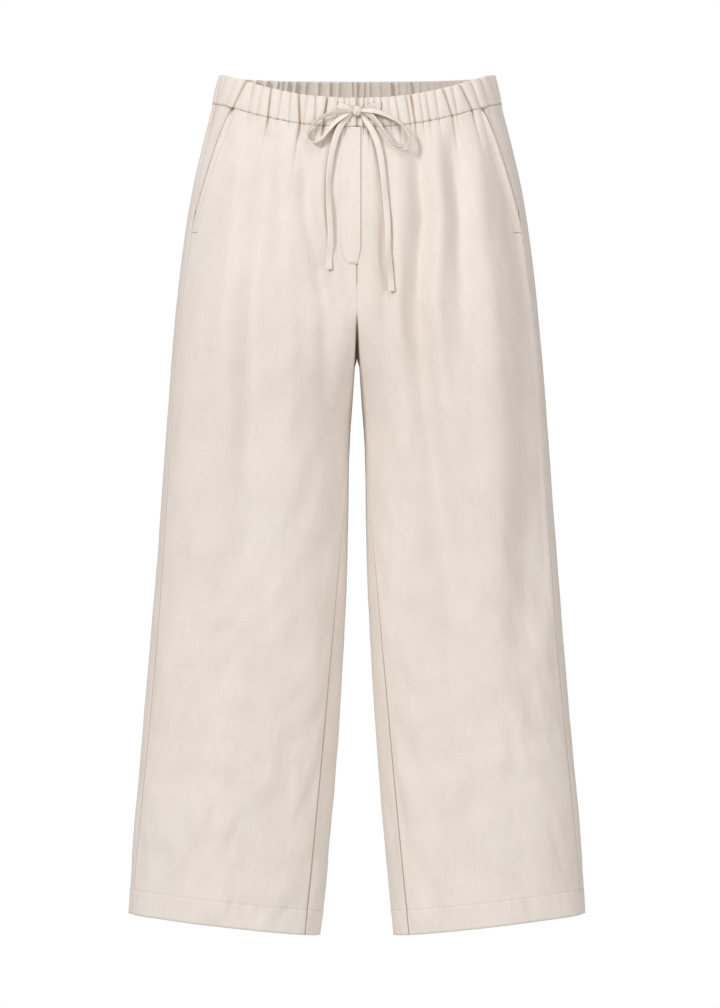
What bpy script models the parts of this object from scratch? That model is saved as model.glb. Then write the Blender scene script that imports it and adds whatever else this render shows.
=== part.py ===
"""Wide-leg linen trousers with an elasticated waistband and a drawstring bow.

The garment is hollow and filled out as if worn, with nothing inside it. Metres, +Z up. The front
faces -Y and the wearer's left side is at +X. The origin is where the waist holds the garment up:
in the middle of the waist, half-way up the waistband at the sides. Each cut piece is a thin wall
whose outer face follows the horizontal sections below, with the cloth's thickness inside it.
"""

import bpy
import numpy as np

# Cloth
CLOTH = 0.0015  # modelled thickness of one layer
BAND_CLOTH = 0.0030  # folded band over its elastic
BAND_PROUD = 0.0006  # the band stands this far out from the panels
SEAM_GAP = 0.0003
WAIST_GAP = 0.0005

# Heights
BAND_TOP = 0.0187
WAIST_SEAM = -0.0175  # at the sides
FRONT_DIP = 0.034  # the waist is this much lower at the centre front
DIP_ENDS = -0.280  # below this height the dip has faded out
DIP_POWER = 2.7
FRONT_CURVE_TOP = -0.270  # where the crotch curve leaves the straight centre front
BACK_CURVE_TOP = -0.225
CROTCH = -0.333
LEGS_ROUND = -0.430  # below this height each leg is a closed round section
HEM = -1.0375
HEM_TILT = 0.114  # rise of the hem towards the side, per metre across
TILT_STARTS = -0.62
POCKET_TOP_WIDTH = 0.038  # from the side seam to the pocket's edge at the waist seam
POCKET_BOTTOM = -0.173
POCKET_TUCK = 0.007  # the facing runs on this far under its neighbours
FACING_RECESS = 0.0027
FLY_BOTTOM = -0.2190
FLY_WIDTH = 0.021  # from the centre front to the fly's inner edge
FLY_LAP = 0.0045  # the fly laps this far past the centre front

# Shape of a section
SIDE_ROUNDNESS = 2.3  # superellipse exponent: 2 is an ellipse
INNER_ROUNDNESS = 2.4

# One row for each section, from the waist down: its height, the half width at the side, the inner
# edge of the leg, the depth forward and back from the side line, and how far the side seam and the
# inseam lie in front of the outermost and innermost points, along the cloth.
SECTION_COLUMNS = ("height", "outer", "inner", "front", "back", "side_seam", "inseam")
SECTIONS = (
    (0.0190, 0.1705, 0.0000, 0.0825, 0.0830, 0.020, 0.000),
    (-0.0180, 0.1790, 0.0000, 0.0860, 0.0870, 0.021, 0.000),
    (-0.0500, 0.1880, 0.0000, 0.0900, 0.0940, 0.024, 0.000),
    (-0.1000, 0.2005, 0.0000, 0.0950, 0.1030, 0.031, 0.000),
    (-0.1500, 0.2100, 0.0000, 0.0985, 0.1110, 0.036, 0.000),
    (-0.2000, 0.2173, 0.0000, 0.1005, 0.1165, 0.039, 0.000),
    (-0.2500, 0.2234, 0.0003, 0.1005, 0.1185, 0.040, 0.000),
    (-0.3000, 0.2282, 0.0018, 0.0985, 0.1160, 0.040, 0.000),
    (-0.3330, 0.2312, 0.0025, 0.0960, 0.1110, 0.039, 0.000),
    (-0.3800, 0.2346, 0.0050, 0.0915, 0.1040, 0.038, 0.003),
    (-0.4300, 0.2382, 0.0085, 0.0870, 0.0970, 0.037, 0.009),
    (-0.5500, 0.2470, 0.0115, 0.0790, 0.0860, 0.036, 0.034),
    (-0.7000, 0.2585, 0.0170, 0.0720, 0.0770, 0.034, 0.045),
    (-0.8500, 0.2710, 0.0275, 0.0670, 0.0700, 0.030, 0.047),
    (-0.9500, 0.2795, 0.0365, 0.0650, 0.0670, 0.027, 0.047),
    (-1.0380, 0.2845, 0.0460, 0.0640, 0.0650, 0.022, 0.046),
)

# Long soft folds: where each starts at its top and ends at its foot, as a distance from the centre
# line, its half width, and how deep it is at its deepest. A negative depth stands out.
# Columns: top, foot, x_top, x_foot, width, depth.
FRONT_FOLDS = (
    (-0.02, -0.52, 0.112, 0.100, 0.022, 0.0030),
    (-0.02, -0.75, 0.060, 0.062, 0.020, 0.0034),
    (-0.02, -0.36, 0.035, 0.022, 0.014, 0.0022),
    (-0.10, -0.80, 0.165, 0.205, 0.028, 0.0030),
)
BACK_FOLDS = (
    (-0.02, -0.45, 0.040, 0.050, 0.020, 0.0030),
    (-0.02, -0.78, 0.085, 0.105, 0.024, 0.0036),
    (-0.05, -0.60, 0.140, 0.165, 0.026, 0.0030),
)

# Heights of the mesh rows down a panel
PANEL_HEIGHTS = (
    (WAIST_SEAM - WAIST_GAP / 2, -0.040, -0.070, -0.105, -0.140, POCKET_BOTTOM)
    + (FLY_BOTTOM, -0.250, -0.270, -0.288, -0.303, -0.315, -0.324, -0.330, CROTCH)
    + (-0.339, -0.352, -0.375, -0.410, -0.460, -0.530, -0.610, -0.690, -0.780)
    + (-0.870, -0.950, -1.006, HEM)
)
FRONT_COLUMNS = 14
BACK_COLUMNS = 17
FACING_COLUMNS = 7
BAND_COLUMNS = 59  # on each half
BAND_ROWS = 3
RIPPLE = 0.0008
RIPPLES_A_METRE = (62.0, 97.0)  # two trains of gathers, which beat unevenly

# Drawstring: flat tape, with its route given as x, height, distance off the cloth, and how far the
# tape is turned from lying flat (0) towards standing on edge (90 degrees). Lengths in millimetres.
TAPE_WIDTH = 0.0080
TAPE_CLOTH = 0.0012
TAPE_STEP = 0.0070
NECK_LENGTH = 0.012  # the tape is bunched narrow over this length beside the knot
NECK = 0.45
KNOT_CENTRE = (0.0, -32.0, 5.6)
KNOT_RADII = (0.0058, 0.0046, 0.0072)
TAPE_ROUTES = {
    "drawstring_strand_left": (
        (30.0, -25.6, 3.6, 5),
        (22.5, -25.6, 3.8, 10),
        (15.0, -27.8, 4.2, 10),
        (7.6, -30.6, 4.6, 10),
    ),
    "drawstring_strand_right": (
        (-24.0, -24.8, 3.6, 5),
        (-18.0, -26.6, 3.8, 10),
        (-12.5, -28.6, 4.2, 10),
        (-7.6, -30.6, 4.6, 10),
    ),
    "drawstring_loop_left": (
        (7.8, -31.6, 7.6, 25),
        (20.0, -32.0, 8.6, 40),
        (31.5, -35.4, 8.8, 50),
        (42.8, -40.6, 8.6, 60),
        (52.4, -46.6, 8.2, 72),
        (60.8, -55.4, 7.8, 82),
        (65.0, -65.0, 7.4, 88),
        (63.2, -72.6, 7.2, 88),
        (57.0, -77.0, 7.0, 86),
        (50.0, -76.2, 7.0, 80),
        (42.6, -71.6, 7.2, 72),
        (36.0, -62.8, 7.4, 66),
        (28.8, -52.0, 7.4, 60),
        (20.6, -41.4, 6.8, 50),
        (11.4, -34.6, 5.2, 30),
    ),
    "drawstring_loop_right": (
        (-7.8, -31.6, 7.6, 25),
        (-17.4, -32.4, 8.4, 40),
        (-30.6, -35.4, 8.8, 50),
        (-41.8, -39.6, 8.6, 60),
        (-51.4, -46.2, 8.2, 74),
        (-59.6, -56.0, 7.6, 84),
        (-62.0, -62.2, 7.2, 88),
        (-59.6, -67.8, 7.0, 88),
        (-54.0, -70.4, 7.0, 84),
        (-48.2, -69.0, 7.0, 78),
        (-41.6, -63.6, 7.2, 68),
        (-34.6, -55.2, 7.4, 60),
        (-27.6, -46.8, 7.2, 50),
        (-18.8, -39.2, 6.4, 40),
        (-11.2, -34.4, 5.0, 30),
    ),
    "drawstring_tail_left": (
        (6.6, -37.2, 3.2, 15),
        (11.6, -44.6, 3.2, 15),
        (16.6, -52.6, 3.0, 15),
        (21.6, -62.2, 2.8, 10),
        (25.6, -73.6, 2.6, 10),
        (29.2, -89.0, 2.4, 10),
        (31.8, -107.4, 2.6, 20),
        (33.8, -125.8, 2.8, 30),
        (35.6, -145.4, 2.6, 20),
        (37.2, -165.0, 2.4, 10),
        (38.2, -186.0, 2.4, 15),
        (38.8, -205.6, 2.8, 35),
        (40.0, -222.8, 2.8, 30),
        (41.6, -240.0, 2.4, 10),
        (42.4, -254.6, 2.2, 5),
    ),
    "drawstring_tail_right": (
        (-7.4, -36.4, 4.0, 20),
        (-14.0, -42.6, 4.0, 15),
        (-19.8, -50.2, 3.6, 10),
        (-24.4, -60.4, 3.2, 10),
        (-28.2, -72.8, 3.0, 10),
        (-31.0, -85.4, 2.8, 15),
        (-33.6, -104.8, 2.8, 25),
        (-34.8, -123.2, 3.0, 40),
        (-34.6, -141.6, 2.8, 30),
        (-33.6, -161.4, 2.6, 20),
        (-32.4, -179.8, 2.6, 20),
        (-32.6, -198.2, 2.6, 15),
        (-33.8, -211.8, 2.4, 10),
        (-34.6, -227.6, 2.2, 0),
    ),
}

LINEN = (0.80, 0.75, 0.69)
LINEN_SHADE = (0.74, 0.69, 0.62)
ROUGHNESS = 0.9


def smooth_step(value, start, end):
    """0 at start, 1 at end and a smooth rise between them."""
    share = np.clip((value - start) / (end - start), 0.0, 1.0)
    return share * share * (3.0 - 2.0 * share)


def smooth_column(heights, values, height):
    """A smooth curve through (heights, values), read at one height."""
    slopes = np.gradient(values, heights)
    index = int(np.clip(np.searchsorted(heights, height) - 1, 0, len(heights) - 2))
    span = heights[index + 1] - heights[index]
    t = (height - heights[index]) / span
    start, end = values[index], values[index + 1]
    rise = slopes[index] * span, slopes[index + 1] * span
    return (
        start * (1 + 2 * t) * (1 - t) ** 2
        + end * t * t * (3 - 2 * t)
        + rise[0] * t * (1 - t) ** 2
        - rise[1] * t * t * (1 - t)
    )


SECTION_TABLE = np.array(SECTIONS)[::-1].T


def section(height):
    """The section's named sizes at a height, with the places of the leg's apex and its roundness."""
    sizes = {
        name: float(smooth_column(SECTION_TABLE[0], column, height))
        for name, column in zip(SECTION_COLUMNS, SECTION_TABLE)
    }
    sizes["inner"] = max(sizes["inner"], SEAM_GAP / 2)
    middle = (sizes["outer"] + sizes["inner"]) / 2
    sizes["apex"] = max(middle * smooth_step(height, -0.10, -0.38), sizes["inner"])
    return sizes


def half_outline(height, sizes, depth, curve_top):
    """Points from the outermost point of a section to its inner edge, as (x, depth forward or back)."""
    turn = np.linspace(0.0, np.pi / 2, 70)
    apex, outer, inner = sizes["apex"], sizes["outer"], sizes["inner"]
    power = 2.0 / SIDE_ROUNDNESS
    side_x = apex + (outer - apex) * np.cos(turn) ** power
    side_y = depth * np.sin(turn) ** power
    rounding = smooth_step(height, curve_top, LEGS_ROUND) ** 1.2
    power = 2.0 / INNER_ROUNDNESS
    inner_x = apex - (apex - inner) * np.sin(turn) ** power
    inner_y = depth * (1.0 - rounding * (1.0 - np.cos(turn) ** power))
    share = np.clip((curve_top - height) / (curve_top - CROTCH), 0.0, 1.0)
    edge_y = depth * np.sqrt(1.0 - share * share)
    edge_x = SEAM_GAP / 2
    if height >= CROTCH:
        edge_y = max(edge_y, SEAM_GAP / 2)
    else:
        edge_y = 0.0
        edge_x += (inner - edge_x) * smooth_step(height, CROTCH, CROTCH - 0.014)
    wall = np.linspace(0.0, 1.0, 24)
    wall_x = inner + (edge_x - inner) * wall
    wall_y = inner_y[-1] + (min(edge_y, inner_y[-1]) - inner_y[-1]) * wall
    x = np.concatenate([side_x, inner_x, wall_x])
    y = np.concatenate([side_y, inner_y, wall_y])
    step = np.hypot(np.diff(x), np.diff(y))
    keep = np.concatenate([[True], step > 1e-7])
    return np.stack([x[keep], y[keep]], axis=1)


def lengths(points):
    return np.concatenate([[0.0], np.cumsum(np.linalg.norm(np.diff(points, axis=0), axis=1))])


class Ring:
    """One side's section at a height, read by distance along the cloth from its outermost point.

    The distance is negative towards the front. Below the crotch the ring is closed, so that
    distances past the innermost point run on round the inside of the leg to the front.
    """

    def __init__(self, height):
        self.sizes = section(height)
        front = half_outline(height, self.sizes, self.sizes["front"], FRONT_CURVE_TOP)
        back = half_outline(height, self.sizes, self.sizes["back"], BACK_CURVE_TOP)
        front[:, 1] *= -1.0
        self.front_end = -lengths(front)[-1]
        self.back_end = lengths(back)[-1]
        points = np.concatenate([front[:0:-1], back])
        distance = np.concatenate([-lengths(front)[:0:-1], lengths(back)])
        if height < CROTCH:
            wrap = front[::-1][1:]
            points = np.concatenate([points, wrap])
            distance = np.concatenate([distance, self.back_end + lengths(front[::-1])[1:]])
        tangent = np.gradient(points, distance, axis=0)
        normal = np.stack([tangent[:, 1], -tangent[:, 0]], axis=1)
        self.normal = normal / np.linalg.norm(normal, axis=1, keepdims=True)
        self.points = points
        self.distance = distance
        gap = SEAM_GAP / 2
        self.side_seam = -self.sizes["side_seam"]
        self.inseam_gap = gap if height < CROTCH else 0.0
        self.inseam = self.sizes["inseam"] if height < CROTCH else 0.0

    def read(self, distance):
        """x, y and the outward normal's x and y."""
        columns = (self.points[:, 0], self.points[:, 1], self.normal[:, 0], self.normal[:, 1])
        return np.array([np.interp(distance, self.distance, column) for column in columns])


def fold_depth(x, height, folds):
    """How far the long folds draw the cloth in at a distance from the centre line."""
    depth = np.zeros_like(x)
    for top, foot, x_top, x_foot, width, deepest in folds:
        share = (height - top) / (foot - top)
        if 0.0 < share < 1.0:
            middle = x_top + (x_foot - x_top) * share
            strength = smooth_step(share, 0.0, 0.12) * smooth_step(share, 1.0, 0.45)
            depth += deepest * strength * np.exp(-(((x - middle) / width) ** 2))
    return depth


def tilt(x, y, height, sizes):
    """How far a point moves up: the waist dips at the front and the hem rises to the side."""
    forward = np.clip(-y / sizes["front"], 0.0, 1.0)
    fade = 1.0 - smooth_step(height, WAIST_SEAM, DIP_ENDS)
    lean = smooth_step(height, TILT_STARTS, HEM)
    middle = (sizes["outer"] + sizes["inner"]) / 2
    return HEM_TILT * (x - middle) * lean - FRONT_DIP * forward**DIP_POWER * fade


def cloth_row(height, distance, side, outward=0.0, thickness=CLOTH):
    """The outer and the inner row of points at a height, for one side (+1 left, -1 right)."""
    ring = Ring(height)
    x, y, normal_x, normal_y = ring.read(distance)
    folds = np.where(
        y < 0, fold_depth(x, height, FRONT_FOLDS), fold_depth(x, height, BACK_FOLDS)
    ) * np.abs(normal_y)
    z = height + tilt(x, y, height, ring.sizes)
    rows = []
    for offset in (outward - folds, outward - folds - thickness):
        rows.append(np.stack([side * (x + normal_x * offset), y + normal_y * offset, z], axis=1))
    return rows


def wall_mesh(name, outer, inner, side, colour):
    """A closed wall between two grids of points, each a list of rows from top to bottom."""
    outer, inner = np.array(outer), np.array(inner)
    rows, columns = outer.shape[:2]
    points = np.concatenate([outer.reshape(-1, 3), inner.reshape(-1, 3)])
    inside = rows * columns

    def at(row, column, layer=0):
        return layer * inside + row * columns + column

    faces = []
    for row in range(rows - 1):
        for column in range(columns - 1):
            corners = ((row, column), (row + 1, column), (row + 1, column + 1), (row, column + 1))
            faces.append([at(*corner) for corner in corners])
            faces.append([at(*corner, 1) for corner in corners[::-1]])
    for row in range(rows - 1):
        for column, step in ((0, 1), (columns - 1, -1)):
            edge = [at(row, column), at(row, column, 1), at(row + 1, column, 1), at(row + 1, column)]
            faces.append(edge[::step])
    for column in range(columns - 1):
        for row, step in ((0, -1), (rows - 1, 1)):
            edge = [at(row, column), at(row, column, 1), at(row, column + 1, 1), at(row, column + 1)]
            faces.append(edge[::step])
    if side < 0:
        faces = [face[::-1] for face in faces]
    return new_object(name, points, faces, colour)


def new_object(name, points, faces, colour):
    mesh = bpy.data.meshes.new(name)
    mesh.from_pydata([tuple(map(float, point)) for point in points], [], faces)
    mesh.validate()
    mesh.shade_smooth()
    mesh.materials.append(cloth_material(name, colour))
    item = bpy.data.objects.new(name, mesh)
    bpy.context.scene.collection.objects.link(item)
    return item


def cloth_material(name, colour):
    material = bpy.data.materials.new(name)
    material.use_nodes = True
    shader = material.node_tree.nodes["Principled BSDF"]
    shader.inputs["Base Color"].default_value = (*colour, 1.0)
    shader.inputs["Roughness"].default_value = ROUGHNESS
    shader.inputs["Metallic"].default_value = 0.0
    return material


def pocket_width(height):
    """From the side seam to the pocket's slanted edge, along the cloth."""
    top = WAIST_SEAM - POCKET_BOTTOM
    return POCKET_TOP_WIDTH * np.clip((height - POCKET_BOTTOM) / top, 0.0, 1.0)


def front_panel(name, side):
    outer, inner = [], []
    for height in PANEL_HEIGHTS:
        ring = Ring(height)
        start = ring.side_seam - SEAM_GAP / 2 - pocket_width(height)
        end = ring.front_end + ring.inseam + ring.inseam_gap
        share = np.linspace(0.0, 1.0, FRONT_COLUMNS) ** 1.25
        rows = cloth_row(height, start + (end - start) * share, side)
        outer.append(rows[0][::-1])
        inner.append(rows[1][::-1])
    return wall_mesh(name, outer, inner, side, LINEN)


def back_panel(name, side):
    outer, inner = [], []
    for height in PANEL_HEIGHTS:
        ring = Ring(height)
        start = ring.side_seam + SEAM_GAP / 2
        end = ring.back_end + ring.inseam - ring.inseam_gap
        share = np.linspace(0.0, 1.0, BACK_COLUMNS) ** 1.1
        rows = cloth_row(height, start + (end - start) * share, side)
        outer.append(rows[0])
        inner.append(rows[1])
    return wall_mesh(name, outer, inner, side, LINEN)


def pocket_facing(name, side):
    """The hip piece that shows in the pocket opening, lying under the front and the back."""
    outer, inner = [], []
    heights = [height for height in PANEL_HEIGHTS if height >= POCKET_BOTTOM]
    for height in heights:
        ring = Ring(height)
        start = ring.side_seam + POCKET_TUCK
        end = ring.side_seam - pocket_width(height) - POCKET_TUCK
        distance = np.linspace(start, end, FACING_COLUMNS)
        rows = cloth_row(height, distance, side, -FACING_RECESS)
        outer.append(rows[0][::-1])
        inner.append(rows[1][::-1])
    return wall_mesh(name, outer, inner, side, LINEN_SHADE)


def mock_fly(name):
    """The folded strip lapped over the centre front, moved out from the front panels' points."""
    outer, inner = [], []
    lift = SEAM_GAP + CLOTH
    for height in [height for height in PANEL_HEIGHTS if height >= FLY_BOTTOM]:
        end = Ring(height).front_end
        right = cloth_row(height, np.array([end + FLY_WIDTH, end + FLY_WIDTH / 2, end]), -1, lift)
        left = cloth_row(height, np.array([end + FLY_LAP]), 1, lift)
        outer.append(np.concatenate([right[0], left[0]]))
        inner.append(np.concatenate([right[1], left[1]]))
    return wall_mesh(name, outer, inner, 1, LINEN)


def gather_ripple(distance):
    """The gathers of the band, as an uneven ripple along the cloth."""
    waves = [np.sin(2 * np.pi * rate * distance) for rate in RIPPLES_A_METRE]
    return RIPPLE * (waves[0] + 0.7 * waves[1])


def waistband(name, side):
    outer, inner = [], []
    for height in np.linspace(BAND_TOP, WAIST_SEAM + WAIST_GAP / 2, BAND_ROWS):
        ring = Ring(height)
        distance = np.linspace(ring.front_end, ring.back_end, BAND_COLUMNS)
        ends = smooth_step(np.minimum(distance - distance[0], distance[-1] - distance), 0.0, 0.006)
        outward = BAND_PROUD + gather_ripple(distance) * ends
        rows = cloth_row(height, distance, side, outward, BAND_CLOTH)
        outer.append(rows[0])
        inner.append(rows[1])
    return wall_mesh(name, outer, inner, side, LINEN)


def front_surface(x, height):
    """y of the front's outer face, at a distance from the centre line and a height as built."""
    nominal = height
    for _ in range(12):
        ring = Ring(min(nominal, BAND_TOP))
        front = ring.points[:, 1] < 0
        order = np.argsort(ring.points[front, 0])
        y = np.interp(abs(x), ring.points[front, 0][order], ring.points[front, 1][order])
        nominal = height - float(tilt(abs(x), y, nominal, ring.sizes))
    return y


def smooth_route(rows):
    """Closely spaced points (x, height, off, turn) on a Catmull-Rom curve through the rows."""
    rows = np.array(rows, float)
    rows = np.concatenate([2 * rows[:1] - rows[1:2], rows, 2 * rows[-1:] - rows[-2:-1]])
    share = np.linspace(0.0, 1.0, 12, endpoint=False)[:, None]
    pieces = []
    for before, start, end, after in zip(rows, rows[1:], rows[2:], rows[3:]):
        pieces.append(
            0.5
            * (
                2 * start
                + (end - before) * share
                + (2 * before - 5 * start + 4 * end - after) * share**2
                + (3 * start - before - 3 * end + after) * share**3
            )
        )
    return np.concatenate([*pieces, rows[-2:-1]])


def tape_points(rows):
    """The route in space, evenly spaced, and the turn of the tape at each point."""
    route = smooth_route(rows)
    places = [
        (x / 1000, front_surface(x / 1000, height / 1000) - off / 1000, height / 1000)
        for x, height, off, _ in route
    ]
    places = np.array(places)
    along = lengths(places)
    steps = np.linspace(0.0, along[-1], max(3, round(along[-1] / TAPE_STEP) + 1))
    places = np.stack([np.interp(steps, along, column) for column in places.T], axis=1)
    return places, np.radians(np.interp(steps, along, route[:, 3])), steps


def tape(name, rows):
    """A flat tape along its route, narrowed where it is drawn into the knot."""
    places, turns, steps = tape_points(rows)
    tangent = np.gradient(places, steps, axis=0)
    tangent /= np.linalg.norm(tangent, axis=1, keepdims=True)
    forward = np.array([0.0, -1.0, 0.0])
    across = np.cross(tangent, forward)
    across /= np.linalg.norm(across, axis=1, keepdims=True)
    outward = np.cross(across, tangent)
    wide = across * np.cos(turns)[:, None] + outward * np.sin(turns)[:, None]
    thick = np.cross(wide, tangent)
    from_end = steps[-1] - steps
    near_knot = {"loop": np.minimum(steps, from_end), "strand": from_end}.get(name.split("_")[1], steps)
    width = TAPE_WIDTH / 2 * (NECK + (1 - NECK) * smooth_step(near_knot, 0.0, NECK_LENGTH))
    corners = [
        places + wide * (width * a)[:, None] + thick * (TAPE_CLOTH / 2 * b)
        for a, b in ((1, 1), (1, -1), (-1, -1), (-1, 1))
    ]
    points = np.stack(corners, axis=1).reshape(-1, 3)
    count = len(places)
    faces = [[3, 2, 1, 0], [4 * count - 4 + corner for corner in range(4)]]
    for row in range(count - 1):
        for corner in range(4):
            after = (corner + 1) % 4
            faces.append([4 * row + corner, 4 * row + after, 4 * row + 4 + after, 4 * row + 4 + corner])
    return new_object(name, points, faces, LINEN)


def knot(name):
    x, height, off = (value / 1000 for value in KNOT_CENTRE)
    centre = (x, front_surface(x, height) - off, height)
    bpy.ops.mesh.primitive_uv_sphere_add(segments=12, ring_count=8, radius=1.0, location=centre)
    item = bpy.context.object
    item.name = name
    item.data.name = name
    item.scale = KNOT_RADII
    bpy.ops.object.transform_apply(location=False, rotation=False, scale=True)
    item.data.materials.append(cloth_material(name, LINEN))
    return item


for item in list(bpy.data.objects):
    bpy.data.objects.remove(item, do_unlink=True)

for word, sign in (("left", 1), ("right", -1)):
    front_panel(f"front_{word}", sign)
    back_panel(f"back_{word}", sign)
    waistband(f"waistband_{word}", sign)
    pocket_facing(f"pocket_facing_{word}", sign)
mock_fly("mock_fly")
knot("drawstring_knot")
for tape_name, tape_rows in TAPE_ROUTES.items():
    tape(tape_name, tape_rows)
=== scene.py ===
"""Looks of the wide-leg linen drawstring trousers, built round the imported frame.

Every cloth piece is a thin shell on the sections that its solid follows, with seams, gathers,
folds, hems and stitches added. Metres, +Z up, the front faces -Y.
"""

import math

import bmesh
import bpy
import numpy as np
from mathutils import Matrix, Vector


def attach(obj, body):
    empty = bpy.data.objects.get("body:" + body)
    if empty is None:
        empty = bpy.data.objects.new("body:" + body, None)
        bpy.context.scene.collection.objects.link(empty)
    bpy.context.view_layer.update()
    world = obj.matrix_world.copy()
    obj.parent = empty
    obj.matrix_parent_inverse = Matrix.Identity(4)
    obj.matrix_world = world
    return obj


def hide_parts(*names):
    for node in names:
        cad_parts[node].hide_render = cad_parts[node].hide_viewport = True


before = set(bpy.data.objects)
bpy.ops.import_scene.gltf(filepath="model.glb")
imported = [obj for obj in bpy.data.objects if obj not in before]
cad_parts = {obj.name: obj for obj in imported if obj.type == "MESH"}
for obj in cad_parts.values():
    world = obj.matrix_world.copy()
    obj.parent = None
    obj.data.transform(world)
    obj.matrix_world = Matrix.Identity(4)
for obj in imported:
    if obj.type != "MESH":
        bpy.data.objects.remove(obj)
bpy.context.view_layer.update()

# ------------------------------------------------------------------ sizes shared with the solids
BAND_TOP = 0.0187
WAIST_SEAM = -0.0175
FRONT_DIP = 0.034
DIP_ENDS = -0.280
DIP_POWER = 2.7
FRONT_CURVE_TOP = -0.270
BACK_CURVE_TOP = -0.225
CROTCH = -0.333
LEGS_ROUND = -0.430
HEM = -1.0375
HEM_TILT = 0.114
TILT_STARTS = -0.62
POCKET_TOP_WIDTH = 0.038
POCKET_BOTTOM = -0.173
POCKET_UNDERLAP = 0.008
POCKET_RECESS = 0.0050
POCKET_GAPE = 0.0024
FLY_BOTTOM = -0.2190
FLY_WIDTH = 0.021
FLY_LAP = 0.0045
FLY_CURVE = 0.030
FLY_PROUD = 0.0016
SEAM_GAP = 0.00004
SIDE_SLIT = 0.0005
INNER_SLIT = 0.0002
SIDE_ROUNDNESS = 2.3
INNER_ROUNDNESS = 2.4
SECTION_COLUMNS = ("height", "outer", "inner", "front", "back", "side_seam", "inseam")
SECTIONS = (
    (0.0190, 0.1705, 0.0000, 0.0825, 0.0830, 0.020, 0.000),
    (-0.0180, 0.1790, 0.0000, 0.0860, 0.0870, 0.021, 0.000),
    (-0.0500, 0.1880, 0.0000, 0.0900, 0.0940, 0.024, 0.000),
    (-0.1000, 0.2005, 0.0000, 0.0950, 0.1030, 0.031, 0.000),
    (-0.1500, 0.2100, 0.0000, 0.0985, 0.1110, 0.036, 0.000),
    (-0.2000, 0.2173, 0.0000, 0.1005, 0.1165, 0.039, 0.000),
    (-0.2500, 0.2234, 0.0003, 0.1005, 0.1185, 0.040, 0.000),
    (-0.3000, 0.2282, 0.0018, 0.0985, 0.1160, 0.040, 0.000),
    (-0.3330, 0.2312, 0.0025, 0.0960, 0.1110, 0.039, 0.000),
    (-0.3800, 0.2346, 0.0050, 0.0915, 0.1040, 0.038, 0.003),
    (-0.4300, 0.2382, 0.0085, 0.0870, 0.0970, 0.037, 0.009),
    (-0.5500, 0.2470, 0.0115, 0.0790, 0.0860, 0.036, 0.034),
    (-0.7000, 0.2585, 0.0170, 0.0720, 0.0770, 0.034, 0.045),
    (-0.8500, 0.2710, 0.0275, 0.0670, 0.0700, 0.030, 0.047),
    (-0.9500, 0.2795, 0.0365, 0.0650, 0.0670, 0.027, 0.047),
    (-1.0380, 0.2845, 0.0460, 0.0640, 0.0650, 0.022, 0.046),
)

# ------------------------------------------------------------------ sizes of the finished cloth
PANEL_COLUMNS = 289
WALL_COLUMNS = 36
BAND_COLUMNS = 760
CLOTH = 0.0009
HEM_DEPTH = 0.0310
ROLL = 0.0019  # how far a seamed edge turns in
ROLL_WIDTH = 0.0019
EDGE_STEPS = (0.0, 0.0004, 0.0008, 0.0012, 0.0017, 0.0023, 0.0031, 0.0041)
BAND_CLOTH = 0.0028
BAND_OUT = 0.0004
BAND_BULGE = 0.0010

# Long soft folds, with x as worn, at six heights. A negative depth stands out.
FOLD_STRENGTH = 1.8
FOLD_HEIGHTS = (-0.03, -0.14, -0.27, -0.39, -0.51, -0.64)
FRONT_FOLDS = (
    # x at each of the heights above, half width, depth, where it starts and where it has faded
    ((-0.108, -0.118, -0.130, -0.130, -0.132, -0.138), 0.019, 0.0058, -0.02, -0.72),
    ((-0.142, -0.150, -0.162, -0.166, -0.168, -0.172), 0.017, -0.0022, -0.02, -0.60),
    ((-0.064, -0.062, -0.038, -0.036, -0.034, -0.034), 0.013, 0.0040, -0.02, -0.52),
    ((-0.088, -0.092, -0.086, -0.082, -0.080, -0.080), 0.020, -0.0022, -0.02, -0.75),
    ((-0.040, -0.042, -0.018, -0.018, -0.020, -0.022), 0.011, -0.0018, -0.04, -0.45),
    ((0.024, 0.030, 0.036, 0.038, 0.040, 0.044), 0.010, 0.0026, -0.10, -0.44),
    ((0.048, 0.052, 0.052, 0.056, 0.060, 0.066), 0.012, -0.0018, -0.08, -0.50),
    ((0.072, 0.082, 0.072, 0.084, 0.100, 0.117), 0.016, 0.0072, -0.02, -0.85),
    ((0.094, 0.102, 0.098, 0.108, 0.122, 0.136), 0.013, -0.0020, -0.02, -0.60),
    ((0.116, 0.127, 0.128, 0.134, 0.142, 0.150), 0.014, 0.0046, -0.02, -0.42),
    ((0.146, 0.154, 0.162, 0.168, 0.172, 0.172), 0.018, -0.0026, -0.02, -0.80),
    ((0.176, 0.192, 0.212, 0.214, 0.216, 0.212), 0.017, 0.0046, -0.06, -0.85),
)
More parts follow.
